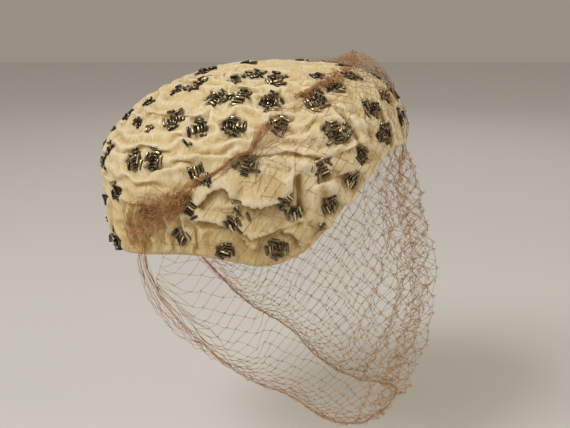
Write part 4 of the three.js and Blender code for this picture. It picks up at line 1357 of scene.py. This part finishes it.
# The hem is a thread with the last strands of the net drawn along it, up to the wads, and a few loose
# ones hang from its ends. Around, and level and distance from the axis in mm.
HEM_THREAD = HEM_FRONT + [
    (69, -216, 63), (100, -196, 66), (119, -170, 79), (130, -142, 93), (136, -118, 99), (139, -108, 97),
    (143, -101, 94),
]
HEM_END = 143
HEM_STRANDS = 8
HEM_STEPS = 200
HEM_SPREAD = 13
HEM_SWAYS = 3
HEM_ZIGZAG = 1.6
LOOSE_STRANDS = 9
LOOSE_STEPS = 60
LOOSE_LENGTHS = (18, 40)  # degrees round
LOOSE_BULGES = (2, 8)
LOOSE_CRINKLE = 3.2


def hem_place(around, out, down):
    """Places by the hem: around, and mm outwards of it and below it."""
    radius = (eased(HEM_THREAD, 2, around) + out) * MM
    level = (eased(HEM_THREAD, 1, around) - down) * MM
    turn = np.radians(around)
    return np.stack([-radius * np.sin(turn), -radius * np.cos(turn), level], -1)


def hem_lines():
    """The strands that run along the hem from wad to wad."""
    random = np.random.default_rng(31)
    around = np.linspace(-HEM_END, HEM_END, HEM_STEPS)
    lines = []
    for _ in range(HEM_STRANDS):
        start = random.uniform(0, 90)
        up = random.uniform(0, 1) ** 1.3 * HEM_SPREAD
        zigzag = HEM_ZIGZAG * crinkle(around, 0.42, start)
        lines.append(hem_place(around, HEM_SWAYS * crinkle(around, 0.12, start) + zigzag,
                               zigzag - up * (0.6 + crinkle(around, 0.09, start + 9))))
    return np.array(lines)


def loose_lines(side):
    """Loose strands from one end of the hem."""
    random = np.random.default_rng(40 + side)
    t = np.linspace(0, 1, LOOSE_STEPS)
    lines = []
    for _ in range(LOOSE_STRANDS):
        start = random.uniform(0, 90)
        around = HEM_END - t * random.uniform(*LOOSE_LENGTHS)
        bulge = np.sin(np.pi * t) * random.uniform(*LOOSE_BULGES)
        lines.append(hem_place(side * around, bulge + LOOSE_CRINKLE * crinkle(t, 15, start),
                               bulge * random.uniform(-0.6, 0.8) + LOOSE_CRINKLE * crinkle(t, 11, start + 5)))
    return np.array(lines)


# Strand radii in mm, and the strands.
drawn_up = [(0.13, rope_lines()), (0.16, wad_lines(1)), (0.16, wad_lines(-1)), (0.18, wad_loops(1)),
            (0.18, wad_loops(-1)), (0.16, hem_lines()), (0.14, loose_lines(1)), (0.14, loose_lines(-1))]
rope = make_mesh("net_gather", *join([tubes(lines, radius * MM) for radius, lines in drawn_up]))
rope.data.materials.append(thread_material("drawn_up_net", GATHER_DARK, GATHER_LIGHT))
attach(rope, "root")
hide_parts("veil_gather")

# ---------------------------------------------------------------- studio
# A plain floor below the hat, a window above and behind it, and soft light from the room.
FLOOR_HALF = 3
FLOOR_LEVEL = -0.3
LIGHTS_AIM = (0, 0, -0.05)
WORLD_COLOUR = (0.78, 0.70, 0.58, 1)
WORLD_STRENGTH = 0.4

floor_corners = [(-FLOOR_HALF, -FLOOR_HALF, FLOOR_LEVEL), (FLOOR_HALF, -FLOOR_HALF, FLOOR_LEVEL),
                 (FLOOR_HALF, FLOOR_HALF, FLOOR_LEVEL), (-FLOOR_HALF, FLOOR_HALF, FLOOR_LEVEL)]
floor = make_mesh("studio_floor", floor_corners, [(0, 1, 2, 3)])


def soft_light(name, place, size, power, colour):
    """A square lamp that faces the hat, its size in metres and its power in watts."""
    data = bpy.data.lights.new(name, "AREA")
    data.size = size
    data.energy = power
    data.color = colour
    lamp = bpy.data.objects.new(name, data)
    lamp.location = place
    lamp.rotation_euler = (Vector(LIGHTS_AIM) - Vector(place)).to_track_quat("-Z", "Y").to_euler()
    bpy.context.collection.objects.link(lamp)


soft_light("window", (-0.7, 0.8, 1.1), 0.6, 13.2, (1, 0.98, 0.95))
soft_light("room", (-0.6, -1.45, 0.9), 1.2, 7.8, (1, 0.91, 0.76))
soft_light("other_side", (1.3, -0.2, 0.7), 1.2, 1.8, (1, 0.95, 0.88))
world = bpy.data.worlds.new("studio")
world.use_nodes = True
world.node_tree.nodes["Background"].inputs["Color"].default_value = WORLD_COLOUR
world.node_tree.nodes["Background"].inputs["Strength"].default_value = WORLD_STRENGTH
bpy.context.scene.world = world
bpy.context.scene.view_settings.view_transform = "Standard"
